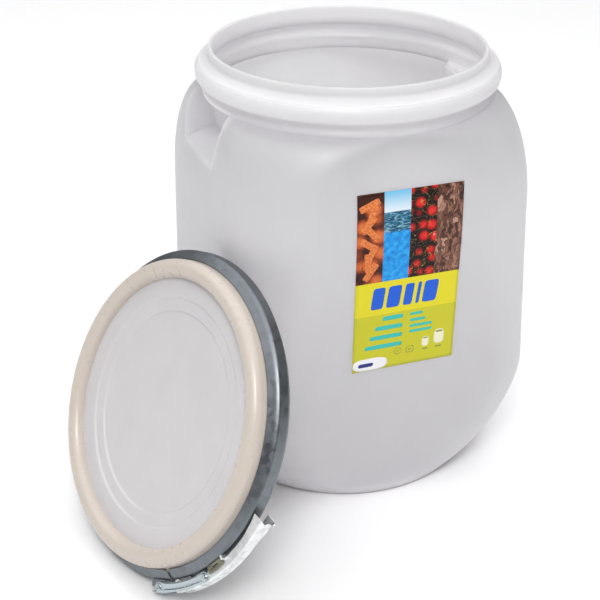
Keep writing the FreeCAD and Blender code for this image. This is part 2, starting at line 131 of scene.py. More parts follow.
class RingSizes(bpy.types.PropertyGroup):
    """The clamp hoop and its closure, about the ring's axis."""
    radius: length("Radius", "Outer radius of the hoop's wall", 189.7)
    wall_half: length("Wall half height", "Half the height of the hoop's upright wall", 6.6)
    sheet: length("Sheet", "Thickness of the sheet steel", 1.2)
    gap: angle("Gap", "Where the hoop is split", -55.6)
    gap_width: angle("Gap width", "How wide the split is", 1.1)
    lug: angle("Lug", "Where the link's free end lies", -62.2)
    pivot: angle("Pivot", "Where the lever turns", -52.3)
    link_pin: angle("Link pin", "Where the link joins the lever", -38.6)
    lever_end: angle("Lever end", "Free end of the lever", -6.4)
    flare: angle("Flare", "Where the lever starts to widen", -17)
    pin_circle: length("Pin circle", "Distance of the pins from the lid's axis", 198)
    lever_in: length("Lever inside", "How far the channel reaches inside the pin circle", 3.4)
    lever_out: length("Lever outside", "How far the channel reaches outside the pin circle", 7.2)
    lever_half: length("Lever half height", "Half the height of the lever's channel", 7.5)
    link_half: length("Link half height", "Half the distance over the link's two arms", 8.9)
    arm_half: length("Arm half width", "Half the width of an arm, and the radius of its ends", 6.1)
    shank: length("Shank", "Radius of a rivet's shank", 2.6)
    head: length("Head", "Radius of a rivet's head", 4.5)


class DrumColours(bpy.types.PropertyGroup):
    """Base tones of the finishes."""
    body: colour("Body", "Natural white polyethylene", "#E6E3E8")
    rim: colour("Lid rim", "Cream polyethylene", "#CAC0B6")
    panel: colour("Lid panel", "White lid panel", "#CDCACC")
    steel: colour("Galvanised steel", "Dull zinc spangle", "#777C81")
    lever: colour("Lever", "Bright galvanised sheet", "#E6E8E8")
    zinc: colour("Zinc plate", "Bluish zinc plating", "#B9C4C8")
    seal: colour("Seal bracket", "Passivated zinc with an olive cast", "#8E8D7C")
    foam: colour("Gasket", "Foam rubber", "#3A3A3C")
    floor: colour("Floor", "Matte paper floor", "#F8F8F9")


GROUPS = {"drum_sizes": DrumSizes, "drum_label": LabelSizes, "drum_lid": LidSizes,
          "drum_ring": RingSizes, "drum_colours": DrumColours}


# ---------------------------------------------------------------- shapes

def quads(rows, columns, wrap_rows=False, wrap_columns=True):
    """Faces of a point grid. Rows follow a profile and columns go round, so that a profile that
    runs anticlockwise, with radius to the right and height up, faces outwards."""
    row = np.arange(rows if wrap_rows else rows - 1)[:, None]
    column = np.arange(columns if wrap_columns else columns - 1)[None, :]
    below, after = (row + 1) % rows, (column + 1) % columns
    corners = (row * columns + column, row * columns + after,
               below * columns + after, below * columns + column)
    return np.stack(np.broadcast_arrays(*corners), -1).reshape(-1, 4)


def softened(corners, setback, steps=6):
    """A path whose corners are rounded: each corner gives way to a parabola between two points
    set back from it along its sides, by at most 0.45 of the side."""
    corners = np.asarray(corners, float)
    before, here, after = corners[:-2], corners[1:-1], corners[2:]
    back = before - here
    on = after - here
    back_length = np.linalg.norm(back, axis=1, keepdims=True)
    on_length = np.linalg.norm(on, axis=1, keepdims=True)
    reach = np.minimum(np.minimum(back_length, on_length) * 0.45, np.reshape(setback, (-1, 1)))
    start = here + back / back_length * reach
    end = here + on / on_length * reach
    s = np.linspace(0, 1, steps)[None, :, None]
    bends = (1 - s) ** 2 * start[:, None] + 2 * s * (1 - s) * here[:, None] + s ** 2 * end[:, None]
    return np.concatenate([corners[:1], bends.reshape(-1, 2), corners[-1:]])


def arc(centre, radius, first, last, steps):
    """Points on a circle about centre, from first to last, in radians."""
    turn = np.linspace(first, last, steps)
    return np.stack([centre[0] + radius * np.cos(turn), centre[1] + radius * np.sin(turn)], -1)


def ring_frame():
    """The lid's own frame in the row frame: its centre, and its level, upslope and outward axes."""
    level = np.cross((0.0, 0.0, 1.0), RING_AXIS)
    level /= np.linalg.norm(level)
    centre = np.array(bpy.context.scene.drum_lid.centre)
    return centre, level, np.cross(RING_AXIS, level), RING_AXIS


def ring_points(radius, turn, t):
    """Points given by radius, angle and height about the lid's axis, as arrays of one shape."""
    centre, level, upslope, axis = ring_frame()
    radius, turn, t = np.broadcast_arrays(radius, turn, t)
    return (centre + (radius * np.cos(turn))[..., None] * level
            + (radius * np.sin(turn))[..., None] * upslope + t[..., None] * axis)


def on_circle(radius, turn):
    """A point in the ring's plane, as two numbers."""
    return np.array([radius * math.cos(turn), radius * math.sin(turn)])


def in_plane(flat, t):
    """Points given by their place in the ring's plane and their height t along its axis."""
    flat = np.asarray(flat, float)
    return ring_points(np.hypot(flat[..., 0], flat[..., 1]), np.arctan2(flat[..., 1], flat[..., 0]), t)


def chunk(grid, **wraps):
    """A grid of points and its faces."""
    return grid.reshape(-1, 3), [quads(grid.shape[0], grid.shape[1], **wraps)]


def about_ring(profile, columns=288):
    """A closed profile of radius and height, turned about the lid's axis."""
    profile = np.asarray(profile)
    turn = np.linspace(0, 2 * math.pi, columns, endpoint=False)[None, :]
    grid = ring_points(profile[:, :1], turn, profile[:, 1:])
    return chunk(grid, wrap_rows=True)


def button(profile, at, columns=32):
    """A profile turned about an axis that is parallel to the lid's, from pole to pole."""
    profile = np.asarray(profile)
    turn = np.linspace(0, 2 * math.pi, columns, endpoint=False)
    spokes = np.stack([np.cos(turn), np.sin(turn)], -1)
    flat = at + profile[1:-1, None, :1] * spokes
    sides = in_plane(flat, profile[1:-1, None, 1]).reshape(-1, 3)
    poles = in_plane(np.array([at, at]), profile[[0, -1], 1])
    return capped(sides, len(profile) - 2, columns, poles)


def capped(sides, rows, columns, poles):
    """Rows of points that close on a pole below the first row and a pole above the last."""
    low, high = rows * columns, rows * columns + 1
    here = np.arange(columns)
    after = (here + 1) % columns
    first = np.stack([np.full(columns, low), after, here], -1)
    last = np.stack([here, after, np.full(columns, columns)], -1) + (rows - 1) * columns
    last[:, 2] = high
    return np.concatenate([sides, poles]), [quads(rows, columns), first, last]


def slab(outline, low, high):
    """A flat plate across the ring's axis: an outline in its plane, from height low to high."""
    outline = np.asarray(outline)
    grid = np.stack([in_plane(outline, low), in_plane(outline, high)])
    count = len(outline)
    lids = np.stack([np.arange(count)[::-1], np.arange(count) + count])
    return grid.reshape(-1, 3), [quads(2, count), lids]


def piece(name, chunks, materials, body, stands_for=(), sharp=40.0, zones=None, uv=None):
    """Joins chunks into one smooth-shaded mesh that rides on a body and stands for CAD nodes."""
    starts = np.cumsum([0] + [len(points) for points, _ in chunks[:-1]])
    points = np.concatenate([points for points, _ in chunks])
    faces = [face for (_, groups), start in zip(chunks, starts)
             for group in groups for face in (group + start).tolist()]
    mesh = bpy.data.meshes.new(name)
    mesh.from_pydata(points.tolist(), [], faces)
    for material in materials:
        mesh.materials.append(material)
    mesh.shade_smooth()
    mesh.set_sharp_from_angle(angle=math.radians(sharp))
    if zones is not None:
        mesh.polygons.foreach_set("material_index", zones.astype(np.int32))
    if uv is not None:
        corners = np.empty(len(mesh.loops), np.int32)
        mesh.loops.foreach_get("vertex_index", corners)
        layer = mesh.uv_layers.new(name="Print")
        layer.data.foreach_set("uv", uv[corners].astype(np.float32).ravel())
    mesh.update()
    thing = bpy.data.objects.new(name, mesh)
    bpy.context.scene.collection.objects.link(thing)
    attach(thing, body)
    if stands_for:
        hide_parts(*stands_for)
    return thing


def thickened(thing, thickness, side=-1, even=True):
    """Gives a sheet its thickness, inwards at side -1 and outwards at side 1."""
    solid = thing.modifiers.new("Thickness", "SOLIDIFY")
    solid.thickness = thickness
    solid.offset = side
    solid.use_even_offset = even


def broken_edges(thing, width):
    """Rounds a plate's sharp edges, as a press leaves them."""
    edge = thing.modifiers.new("Edges", "BEVEL")
    edge.width = width
    edge.segments = 2
    edge.limit_method = "ANGLE"
    edge.angle_limit = math.radians(50)


# ---------------------------------------------------------------- drum shape

def soft_lower(a, b, width):
    """The lower of two heights, blended over width where they are close."""
    near = np.maximum(width - np.abs(a - b), 0)
    return np.minimum(a, b) - near ** 2 / (4 * width)


def soft_upper(a, b, width):
    """The higher of two heights, blended over width where they are close."""
    return -soft_lower(-a, -b, width)


def body_size(size, z):
    """Half width and corner radius at a height. Below the waist they grow from the round base on
    a superellipse, to the shoulder they run straight, and above it they fall to the round neck."""
    low = np.clip(z / size.waist_z, 0, 1)
    grown = (1 - (1 - low) ** 1.45) ** (1 / 1.45)
    side = np.clip((z - size.waist_z) / (size.shoulder_z - size.waist_z), 0, 1)
    high = np.clip((z - size.shoulder_z) / (size.neck_z - size.shoulder_z), 0, 1)
    fallen = 1 - (1 - high ** 2.1) ** (1 / 2.1)
    half = (size.base_radius + (size.waist_half - size.base_radius) * grown
            + (size.shoulder_half - size.waist_half) * side
            + (size.neck_radius - size.shoulder_half) * fallen)
    corner = (size.base_radius * 1.15 + (size.waist_corner - size.base_radius * 1.15) * grown
              + (size.shoulder_corner - size.waist_corner) * side
              + (size.neck_radius - size.shoulder_corner) * fallen)
    return half, np.minimum(corner, half)


def square_radius(turn, half, corner):
    """Distance from the axis to a rounded square in a direction: its flat side where the ray meets
    one, and otherwise the corner's circle."""
    fold = np.abs((turn + math.pi / 4) % (math.pi / 2) - math.pi / 4)
    flat = half - corner
    along = flat * (np.cos(fold) + np.sin(fold))
    curved = along + np.sqrt(np.maximum(along ** 2 - 2 * flat ** 2 + corner ** 2, 0))
    return np.where(half * np.tan(fold) <= flat, half / np.cos(fold), curved)


# No grip reaches farther round than this from the +X and -X directions.
GRIP_REACH = math.radians(40)


def side_angle(turn):
    """Angle from the nearer of the +X and -X directions."""
    return np.abs((turn + math.pi / 2) % math.pi - math.pi / 2)


def grip_spread(size, z):
    """How fast a grip's side walls spread outwards: little at the sill and most at its top."""
    opening = size.grip_sill - size.grip_drop
    share = np.clip((z - opening) / (size.neck_z - opening), 0, 1)
    return (size.grip_splay_low + (size.grip_splay_high - size.grip_splay_low) * share) / size.grip_run


def grip_radius(size, turn, z, grown):
    """Distance from the axis to a grip's walls in a direction: the farthest of the back wall,
    the two spreading sides and the sloping sill, blended where they meet."""
    off = side_angle(turn)
    sine, cosine = np.sin(off), np.cos(off)
    back = size.grip_back - grown
    spread = grip_spread(size, z)
    side = (back * spread - size.grip_half - grown) / (spread * cosine - sine + 1e-9)
    side = np.where((spread * cosine > sine) & (side > 0), side, 1.0)
    side = np.where(off < math.atan2(size.grip_half + grown, back), 0.0, side)
    sill = (back + (size.grip_sill - grown - z) * size.grip_run / size.grip_drop) / cosine
    walls = soft_upper(back / cosine, np.clip(sill, 0, 1), 7 * MM)
    walls = soft_upper(walls, np.clip(side, 0, 1), 5 * MM)
    return np.where(off > GRIP_REACH, 1.0, walls)


def drum_turns(size, z):
    """Directions of the drum's columns at each height. They gather along the grips' side walls,
    whose outer edge leans with height, and are mirrored into the four quarters."""
    inner = math.atan2(size.grip_half, size.grip_back)
    at = np.clip(z, size.grip_sill - size.grip_drop, size.neck_z)
    half, corner = body_size(size, at)
    spread = grip_spread(size, at)
    outer = np.full_like(at, inner + 0.05)
    for _ in range(8):
        x = square_radius(outer, half, corner) * np.cos(outer)
        outer = np.arctan2(size.grip_half + spread * (x - size.grip_back), x)
    ease = np.sin(np.linspace(0, math.pi / 2, 13)[:-1])
    through = (1 - np.cos(np.linspace(0, math.pi, 11)[:-1])) / 2
    beyond = np.linspace(0, 1, 27)[:-1] ** 1.5
    last = np.linspace(0, 1, 25) ** 0.9
    quarter = math.pi / 4
    inner, outer = np.full((len(z), 1), inner), outer[:, None]
    first_half = np.concatenate([inner * ease, inner + (outer - inner) * through,
                                 outer + (quarter - outer) * beyond], 1)
    one = np.concatenate([first_half, quarter + quarter * np.broadcast_to(last, (len(z), 25))], 1)
    mirrored = math.pi - one[:, -2:0:-1]
    upper = np.concatenate([one, mirrored], 1)
    return np.concatenate([upper, upper + math.pi], 1)


def drum_outline(size):
    """The collar's outside and inside, as radius and height."""
    neck, bead, rim, top = size.neck_radius, size.bead_radius, size.rim_radius, size.height
    return softened([
        (neck + 3.5 * MM, top - 53 * MM), (neck + 2.8 * MM, top - 50.5 * MM), (neck, top - 45 * MM),
        (neck, top - 39.5 * MM), (neck + 3.5 * MM, top - 36.8 * MM), (bead - 1.2 * MM, top - 36.3 * MM),
        (bead, top - 31 * MM), (bead, top - 24 * MM), (bead - 2.4 * MM, top - 19.2 * MM),
        (bead - 3.2 * MM, top - 18.6 * MM), (bead - 3.9 * MM, top - 16.6 * MM),
        (bead - 8.5 * MM, top - 15.2 * MM), (rim, top - 10.6 * MM), (rim, top - 0.2 * MM),
        (rim - 2 * MM, top), (rim - 4 * MM, top - 0.2 * MM), (rim - 4 * MM, top - 21 * MM),
        (rim - 2.4 * MM, top - 24.2 * MM), (bead - 8 * MM, top - 26.5 * MM),
        (bead - 7.2 * MM, top - 34 * MM), (neck - 1.5 * MM, top - 38 * MM),
        (neck - size.wall, top - 41.5 * MM), (neck - size.wall, top - 56.5 * MM),
    ], 3 * MM, 5)


def circles(profile, turns):
    """A profile of radius and height as rows of circles, with their columns at the given turns."""
    across = np.ones(len(turns))
    return profile[:, :1] * across, np.repeat(turns[None, :], len(profile), 0), profile[:, 1:] * across


def drum_outside(size):
    """Rows over the drum's outside from the foot's rounded edge to the neck: radius, turn, height."""
    foot = np.linspace(0, math.pi / 2, 9)
    foot_z = size.base_edge * (1 - np.cos(foot))
    foot_in = size.base_edge * (1 - np.sin(foot))
    flank = np.concatenate([np.linspace(10, 160, 26), np.linspace(160, 354, 16)[1:],
                            np.linspace(354, 418, 14)[1:], np.linspace(418, 448, 31)[1:],
                            np.linspace(448, 484, 14)[1:], np.array([485, 486, 486.7])]) * MM
    up = np.concatenate([foot_z, flank])
    tuck = np.concatenate([foot_in, np.zeros(len(flank))])
    half, corner = body_size(size, up)
    turn = drum_turns(size, up)
    radius = square_radius(turn, (half - tuck)[:, None], np.minimum(corner, half - tuck)[:, None])
    neck = np.where(up > size.neck_z - 12 * MM, size.neck_radius + 3 * MM, 0)[:, None]
    radius = soft_upper(radius, neck, 3 * MM)
    radius = soft_lower(radius, grip_radius(size, turn, up[:, None], 0.0), size.grip_edge)
    return radius, turn, np.repeat(up[:, None], turn.shape[1], 1)


def drum_inside(size):
    """Rows down the drum's inside, a wall's thickness in, to the floor's rounded edge."""
    down = np.concatenate([np.linspace(482, 448, 14), np.linspace(448, 414, 24)[1:],
                           np.linspace(414, 20, 40)[1:], np.array([14, 9, 6, 4.7])]) * MM
    half, corner = body_size(size, down)
    turn = drum_turns(size, down)
    low = np.clip((20 * MM - down) / (15.4 * MM), 0, 1)
    inset = size.wall + 14 * MM * low ** 2.5
    radius = square_radius(turn, (half - inset)[:, None], np.minimum(corner, half - inset)[:, None])
    radius = soft_lower(radius, grip_radius(size, turn, down[:, None], size.wall), 6 * MM)
    return radius, turn, np.repeat(down[:, None], turn.shape[1], 1)


def drum_points(size):
    """The whole skin of the drum from the middle of the base, out, up, over the rim and down
    inside to the middle of the floor."""
    recess, floor_top, inner = 5 * MM, 9.5 * MM, 50 * MM
    base = softened([(60 * MM, recess), (132 * MM, recess), (138 * MM, 0), (size.base_radius - 14 * MM, 0)],
                    2 * MM, 5)
    floor = softened([(146 * MM, 4.5 * MM), (142.5 * MM, 4.6 * MM), (136.5 * MM, floor_top),
                      (inner, floor_top)], 2 * MM, 5)
    outside, inside = drum_outside(size), drum_inside(size)
    collar = drum_outline(size)
    last_turn = outside[1][-1]
    under = outside[0][-1]
    ledge = under + (collar[0, 0] - under) * np.array([0.03, 0.5, 0.97])[:, None]
    ledge_rows = ledge, np.repeat(last_turn[None], 3, 0), np.full(ledge.shape, size.neck_z)
    parts = [circles(base, outside[1][0]), outside, ledge_rows, circles(collar, last_turn), inside,
             circles(floor, inside[1][-1])]
    radius, turns, z = (np.concatenate(group) for group in zip(*parts))
    grid = np.stack([radius * np.cos(turns), radius * np.sin(turns), z], -1)
    poles = np.array([[0, 0, recess], [0, 0, floor_top]])
    return capped(grid.reshape(-1, 3), grid.shape[0], grid.shape[1], poles)


def wall_y(size, x, z):
    """The -Y face's surface: y on the rounded square at x across and z up."""
    half, corner = body_size(size, z)
    flat = half - corner
    beyond = np.maximum(np.abs(x) - flat, 0)
    return -flat - np.sqrt(np.maximum(corner ** 2 - beyond ** 2, 0))


# ---------------------------------------------------------------- materials

def node(tree, kind, inputs, out=0, stops=(), **settings):
    """Adds a node, sets its settings and a ramp's stops, feeds its sockets with values or with other
    nodes' sockets, and gives back one of its outputs."""
    made = tree.nodes.new("ShaderNode" + kind)
    for name, value in settings.items():
        setattr(made, name, value)
    for socket, value in inputs.items():
        if isinstance(value, bpy.types.NodeSocket):
            tree.links.new(value, made.inputs[socket])
        else:
            made.inputs[socket].default_value = value
    for number, (at, code) in enumerate(stops):
        elements = made.color_ramp.elements
        element = elements[number] if number < 2 else elements.new(at)
        element.position = at
        element.color = linear(code)
    return made.outputs[out] if len(made.outputs) else None


def new_material(name, **constants):
    """A material with its shader's constants set, and the object's coordinates in millimetres."""
    material = bpy.data.materials.new(name)
    material.use_nodes = True
    tree = material.node_tree
    shader = tree.nodes["Principled BSDF"]
    for socket, value in constants.items():
        shader.inputs[socket.replace("_", " ")].default_value = value
    own = node(tree, "TexCoord", {}, out="Object")
    place = node(tree, "VectorMath", {0: own, "Scale": 1 / MM}, operation="SCALE")
    return material, tree, shader.inputs, place


def tinted(tone, shift):
    """A colour made lighter or darker by a share."""
    return (*(min(1.0, channel * (1 + shift)) for channel in tone[:3]), 1.0)


def blow_moulded_polyethylene(tone):
    """Natural white HDPE from a blow mould. The thick, cloudy wall lets light sink in, so shadows are
    soft; the blasted mould leaves a satin skin with a fine orange peel over slow waves."""
    material, tree, skin, place = new_material(
        "blow_moulded_hdpe", IOR=1.54, Subsurface_Weight=0.9, Subsurface_Radius=(1.0, 0.97, 0.98),
        Subsurface_Scale=60 * MM)
    cloud = node(tree, "TexNoise", {"Vector": place, "Scale": 1 / 90, "Detail": 2.0})
    tone_out = node(tree, "Mix", {0: cloud, 6: tinted(tone, -0.05), 7: tinted(tone, 0.02)}, out=2,
                    data_type="RGBA")
    tree.links.new(tone_out, skin["Base Color"])
    satin = node(tree, "TexNoise", {"Vector": place, "Scale": 1 / 14, "Detail": 4.0})
    tree.links.new(node(tree, "MapRange", {0: satin, 1: 0.3, 2: 0.7, 3: 0.38, 4: 0.48}), skin["Roughness"])
    peel = node(tree, "TexNoise", {"Vector": place, "Scale": 1 / 2.6, "Detail": 3.0})
    wave = node(tree, "TexNoise", {"Vector": place, "Scale": 1 / 70, "Detail": 1.0})
    height = node(tree, "Math", {0: peel, 1: 0.05, 2: wave}, operation="MULTIPLY_ADD")
    tree.links.new(node(tree, "Bump", {"Height": height, "Distance": 0.8 * MM}), skin["Normal"])
    return material


def moulded_lid_plastic(name, tone, gloss, peel_depth):
    """Injection-moulded polyethylene. It is denser and smoother than the drum's wall, so it carries
    a soft, broad sheen, with faint flow marks from the mould."""
    material, tree, skin, place = new_material(
        name, IOR=1.53, Subsurface_Weight=0.2, Subsurface_Radius=(1.0, 0.9, 0.8), Subsurface_Scale=4 * MM)
    cloud = node(tree, "TexNoise", {"Vector": place, "Scale": 1 / 45, "Detail": 3.0})
    tone_out = node(tree, "Mix", {0: cloud, 6: tinted(tone, -0.06), 7: tinted(tone, 0.04)}, out=2,
                    data_type="RGBA")
    tree.links.new(tone_out, skin["Base Color"])
    flow = node(tree, "TexNoise", {"Vector": place, "Scale": 1 / 9, "Detail": 5.0})
    tree.links.new(node(tree, "MapRange", {0: flow, 1: 0.3, 2: 0.7, 3: gloss, 4: gloss + 0.08}),
                   skin["Roughness"])
    peel = node(tree, "TexNoise", {"Vector": place, "Scale": 1 / 3.2, "Detail": 3.0})
    tree.links.new(node(tree, "Bump", {"Height": peel, "Distance": peel_depth * MM}), skin["Normal"])
    return material


def galvanised_strip(name, tone, dull, spangle):
    """Hot-dip galvanised steel strip, rolled and folded. The zinc freezes in spangles that differ in
    tone and dullness, under fine rolling lines and a cloudy white bloom."""
    material, tree, skin, place = new_material(name, Metallic=1.0)
    crystal = node(tree, "TexVoronoi", {"Vector": place, "Scale": 1 / spangle}, out="Color")
    share = node(tree, "SeparateColor", {0: crystal}, out="Red")
    cloud = node(tree, "TexNoise", {"Vector": place, "Scale": 1 / 16, "Detail": 5.0, "Roughness": 0.6})
    bloom = node(tree, "MapRange", {0: cloud, 1: 0.35, 2: 0.7, 3: 0.0, 4: 1.0})
    grey = node(tree, "Mix", {0: share, 6: tinted(tone, -0.22), 7: tinted(tone, 0.16)}, out=2,
                data_type="RGBA")
    tone_out = node(tree, "Mix", {0: bloom, 6: grey, 7: tinted(tone, 0.1)}, out=2, data_type="RGBA")
    tree.links.new(tone_out, skin["Base Color"])
    facet = node(tree, "Math", {0: share, 1: 0.12, 2: dull}, operation="MULTIPLY_ADD")
    tree.links.new(node(tree, "Math", {0: bloom, 1: 0.1, 2: facet}, operation="MULTIPLY_ADD"),
                   skin["Roughness"])
    drawn = node(tree, "VectorMath", {0: place, 1: (0.35, 0.35, 1.6)}, operation="MULTIPLY")
    lines = node(tree, "TexNoise", {"Vector": drawn, "Scale": 1 / 0.8, "Detail": 2.0})
    tree.links.new(node(tree, "Bump", {"Height": lines, "Distance": 0.03 * MM}), skin["Normal"])
    return material


def bright_zinc_plate(tone):
    """Bright zinc plating over pressed steel. It mirrors the room with a cold blue cast, broken by
    press marks and the thin haze of handling."""
    material, tree, skin, place = new_material("bright_zinc_plate", Metallic=1.0)
    haze = node(tree, "TexNoise", {"Vector": place, "Scale": 1 / 5, "Detail": 4.0})
    tone_out = node(tree, "Mix", {0: haze, 6: tinted(tone, -0.2), 7: tinted(tone, 0.1)}, out=2,
                    data_type="RGBA")
    tree.links.new(tone_out, skin["Base Color"])
    tree.links.new(node(tree, "MapRange", {0: haze, 1: 0.3, 2: 0.75, 3: 0.16, 4: 0.34}), skin["Roughness"])
    marks = node(tree, "TexNoise", {"Vector": place, "Scale": 1 / 2.5, "Detail": 3.0})
    tree.links.new(node(tree, "Bump", {"Height": marks, "Distance": 0.12 * MM}), skin["Normal"])
    return material


def closed_cell_foam(tone):
    """Closed-cell foam rubber, extruded. Its skin is pitted with open cells and scatters light
    almost without gloss. Its colour carries painted shade in each pit and painted light on the
    rims between, following the bump."""
    material, tree, skin, place = new_material("closed_cell_foam", Roughness=0.9)
    cells = node(tree, "TexVoronoi", {"Vector": place, "Scale": 1 / 0.9})
    # painted shade and light: the tone follows the pits' depth, darker in each pit and lighter on the rims
    # between
    tone_out = node(tree, "Mix", {0: cells, 6: tinted(tone, -0.35), 7: tinted(tone, 0.25)}, out=2,
                    data_type="RGBA")
    tree.links.new(tone_out, skin["Base Color"])
    tree.links.new(node(tree, "Bump", {"Height": cells, "Distance": 0.35 * MM}), skin["Normal"])
    return material


def matte_paper(tone):
    """A matte sheet of white background paper, with only the faintest cloudiness."""
    material, tree, skin, place = new_material("matte_paper", Roughness=0.95, Specular_IOR_Level=0.1)
    cloud = node(tree, "TexNoise", {"Vector": place, "Scale": 1 / 900, "Detail": 2.0})
    tone_out = node(tree, "Mix", {0: cloud, 6: tinted(tone, -0.01), 7: tinted(tone, 0.01)}, out=2,
                    data_type="RGBA")
    tree.links.new(tone_out, skin["Base Color"])
    return material


def printed_film(name, draw):
    """Printed polypropylene film: satin ink, a little uneven where it was rubbed down on the wall.
    draw makes the ink's colour from the label's own coordinates in millimetres, across and up."""
    material, tree, skin, place = new_material(name, IOR=1.49, Specular_IOR_Level=0.25)
    size = bpy.context.scene.drum_label
    uv = node(tree, "UVMap", {}, uv_map="Print")
    across = node(tree, "VectorMath", {0: uv, 1: (size.width / MM, size.height / MM, 0.0)},
                  operation="MULTIPLY")
    tree.links.new(draw(tree, across), skin["Base Color"])
    rub = node(tree, "TexNoise", {"Vector": place, "Scale": 1 / 25, "Detail": 3.0})
    tree.links.new(node(tree, "MapRange", {0: rub, 1: 0.3, 2: 0.7, 3: 0.34, 4: 0.42}), skin["Roughness"])
    return material


def flat_ink(code):
    """One flat ink, with the fine mottle of a halftone screen."""
    tone = linear(code)

    def draw(tree, place):
        screen = node(tree, "TexNoise", {"Vector": place, "Scale": 1 / 1.1, "Detail": 2.0})
        return node(tree, "Mix", {0: screen, 6: tinted(tone, -0.07), 7: tinted(tone, 0.05)}, out=2,
                    data_type="RGBA")
    return draw


def biscuit_picture(tree, place):
    """A heap of baked biscuits seen in shade: dark gaps between warm brown lumps."""
    lumps = node(tree, "TexVoronoi", {"Vector": place, "Scale": 1 / 19, "Smoothness": 0.3},
                 feature="SMOOTH_F1")
    crumb = node(tree, "TexNoise", {"Vector": place, "Scale": 1 / 2.2, "Detail": 4.0})
    shade = node(tree, "Math", {0: crumb, 1: 0.25, 2: lumps}, operation="MULTIPLY_ADD")
    return node(tree, "ValToRGB", {0: shade}, stops=[
        (0.2, "#DB7A3E"), (0.75, "#3A150A"), (0.45, "#C9622E"), (0.6, "#83361A")])


def biscuit_crust(tree, place):
    """A baked crust: orange brown, speckled, with browner pits."""
    crumb = node(tree, "TexNoise", {"Vector": place, "Scale": 1 / 2.4, "Detail": 5.0, "Roughness": 0.65})
    return node(tree, "ValToRGB", {0: crumb}, stops=[(0.3, "#A9501F"), (0.72, "#F0A069"), (0.5, "#DE7A3E")])


def water_picture(tree, place):
    """Sky over a rippled sea, and clear blue water under its curved surface."""
    ripple = node(tree, "TexNoise", {"Vector": place, "Scale": 1 / 9, "Detail": 3.0})
    parts = node(tree, "SeparateXYZ", {0: place}, out="Y")
    height = node(tree, "Math", {0: ripple, 1: 9.0, 2: parts}, operation="MULTIPLY_ADD")
    flat = node(tree, "VectorMath", {0: place, 1: (0.25, 1.0, 1.0)}, operation="MULTIPLY")
    waves = node(tree, "TexNoise", {"Vector": flat, "Scale": 1 / 2.2, "Detail": 3.0, "Distortion": 1.2})
    sea = node(tree, "ValToRGB", {0: waves}, stops=[(0.38, "#16445E"), (0.66, "#8FC4D8"), (0.5, "#2D6C8C")])
    deep = node(tree, "TexNoise", {"Vector": place, "Scale": 1 / 6, "Detail": 3.0})
    below = node(tree, "ValToRGB", {0: deep}, stops=[(0.3, "#1579C8"), (0.75, "#3DB4F2"), (0.5, "#1E96E4")])
    air = node(tree, "MapRange", {0: parts, 1: 205.0, 2: 228.0, 3: 0.0, 4: 1.0})
    sky = node(tree, "ValToRGB", {0: air}, stops=[(0.0, "#DDEBF2"), (1.0, "#6FBCE4")])
    surface = node(tree, "MapRange", {0: height, 1: 183.0, 2: 185.5, 3: 0.0, 4: 1.0})
    horizon = node(tree, "MapRange", {0: parts, 1: 204.0, 2: 205.0, 3: 0.0, 4: 1.0})
    wet = node(tree, "Mix", {0: surface, 6: below, 7: sea}, out=2, data_type="RGBA")
    return node(tree, "Mix", {0: horizon, 6: wet, 7: sky}, out=2, data_type="RGBA")


def berry_picture(tree, place):
    """Round red berries on black, each with its shaded edge, small highlight and thin stalks."""
    spread = {"Vector": place, "Scale": 1 / 15, "Randomness": 0.5}
    round_out = node(tree, "TexVoronoi", spread)
    flesh = node(tree, "ValToRGB", {0: round_out}, stops=[
        (0.0, "#F0352C"), (0.56, "#120608"), (0.3, "#D2141A"), (0.44, "#7A0A10"), (0.51, "#2A0709")])
    moved = node(tree, "VectorMath", {0: place, 1: (1.6, -2.0, 0.0)}, operation="ADD")
    spot = node(tree, "TexVoronoi", {"Vector": moved, "Scale": 1 / 15, "Randomness": 0.5})
    glint = node(tree, "MapRange", {0: spot, 1: 0.05, 2: 0.1, 3: 0.85, 4: 0.0})
    bright = node(tree, "Mix", {0: glint, 6: flesh, 7: linear("#FFD9CF")}, out=2, data_type="RGBA")
    stems = node(tree, "TexNoise", {"Vector": place, "Scale": 1 / 16, "Detail": 1.0, "Distortion": 2.0})
    line = node(tree, "Math", {0: stems, 1: 0.5, 2: 0.006}, operation="COMPARE")
    return node(tree, "Mix", {0: line, 6: bright, 7: linear("#A88C3C")}, out=2, data_type="RGBA")


def bark_picture(tree, place):
    """A bed of bark chips lying every way, with dark gaps between them."""
    bend = node(tree, "TexNoise", {"Vector": place, "Scale": 1 / 11, "Detail": 2.0}, out="Color")
    turned = node(tree, "VectorMath", {0: bend, 1: (16.0, 16.0, 0.0), 2: place}, operation="MULTIPLY_ADD")
    thin = node(tree, "VectorMath", {0: turned, 1: (1.0, 0.36, 1.0)}, operation="MULTIPLY")
    chip = node(tree, "TexVoronoi", {"Vector": thin, "Scale": 1 / 3.6}, out="Color")
    tone = node(tree, "SeparateColor", {0: chip}, out="Red")
    gap = node(tree, "TexVoronoi", {"Vector": thin, "Scale": 1 / 3.6}, feature="DISTANCE_TO_EDGE")
    wood = node(tree, "ValToRGB", {0: tone}, stops=[
        (0.0, "#3B231B"), (1.0, "#B98F7B"), (0.35, "#6A4436"), (0.7, "#8F6250")])
    shade = node(tree, "MapRange", {0: gap, 1: 0.0, 2: 0.09, 3: 0.85, 4: 0.0})
    return node(tree, "Mix", {0: shade, 6: wood, 7: linear("#2B1B16")}, out=2, data_type="RGBA")


def shared(name, make, *values):
    """A material by its name, made the first time that it is asked for."""
    return bpy.data.materials.get(name) or make(*values)


def hoop_steel():
    """The hoop's folded strip: dull grey with large spangles."""
    return shared("galvanised_strip", galvanised_strip, "galvanised_strip",
                  bpy.context.scene.drum_colours.steel, 0.3, 9.0)


def lever_steel():
    """The lever's thicker sheet: pale, bright and finely spangled."""
    return shared("galvanised_pressing", galvanised_strip, "galvanised_pressing",
                  bpy.context.scene.drum_colours.lever, 0.36, 6.0)


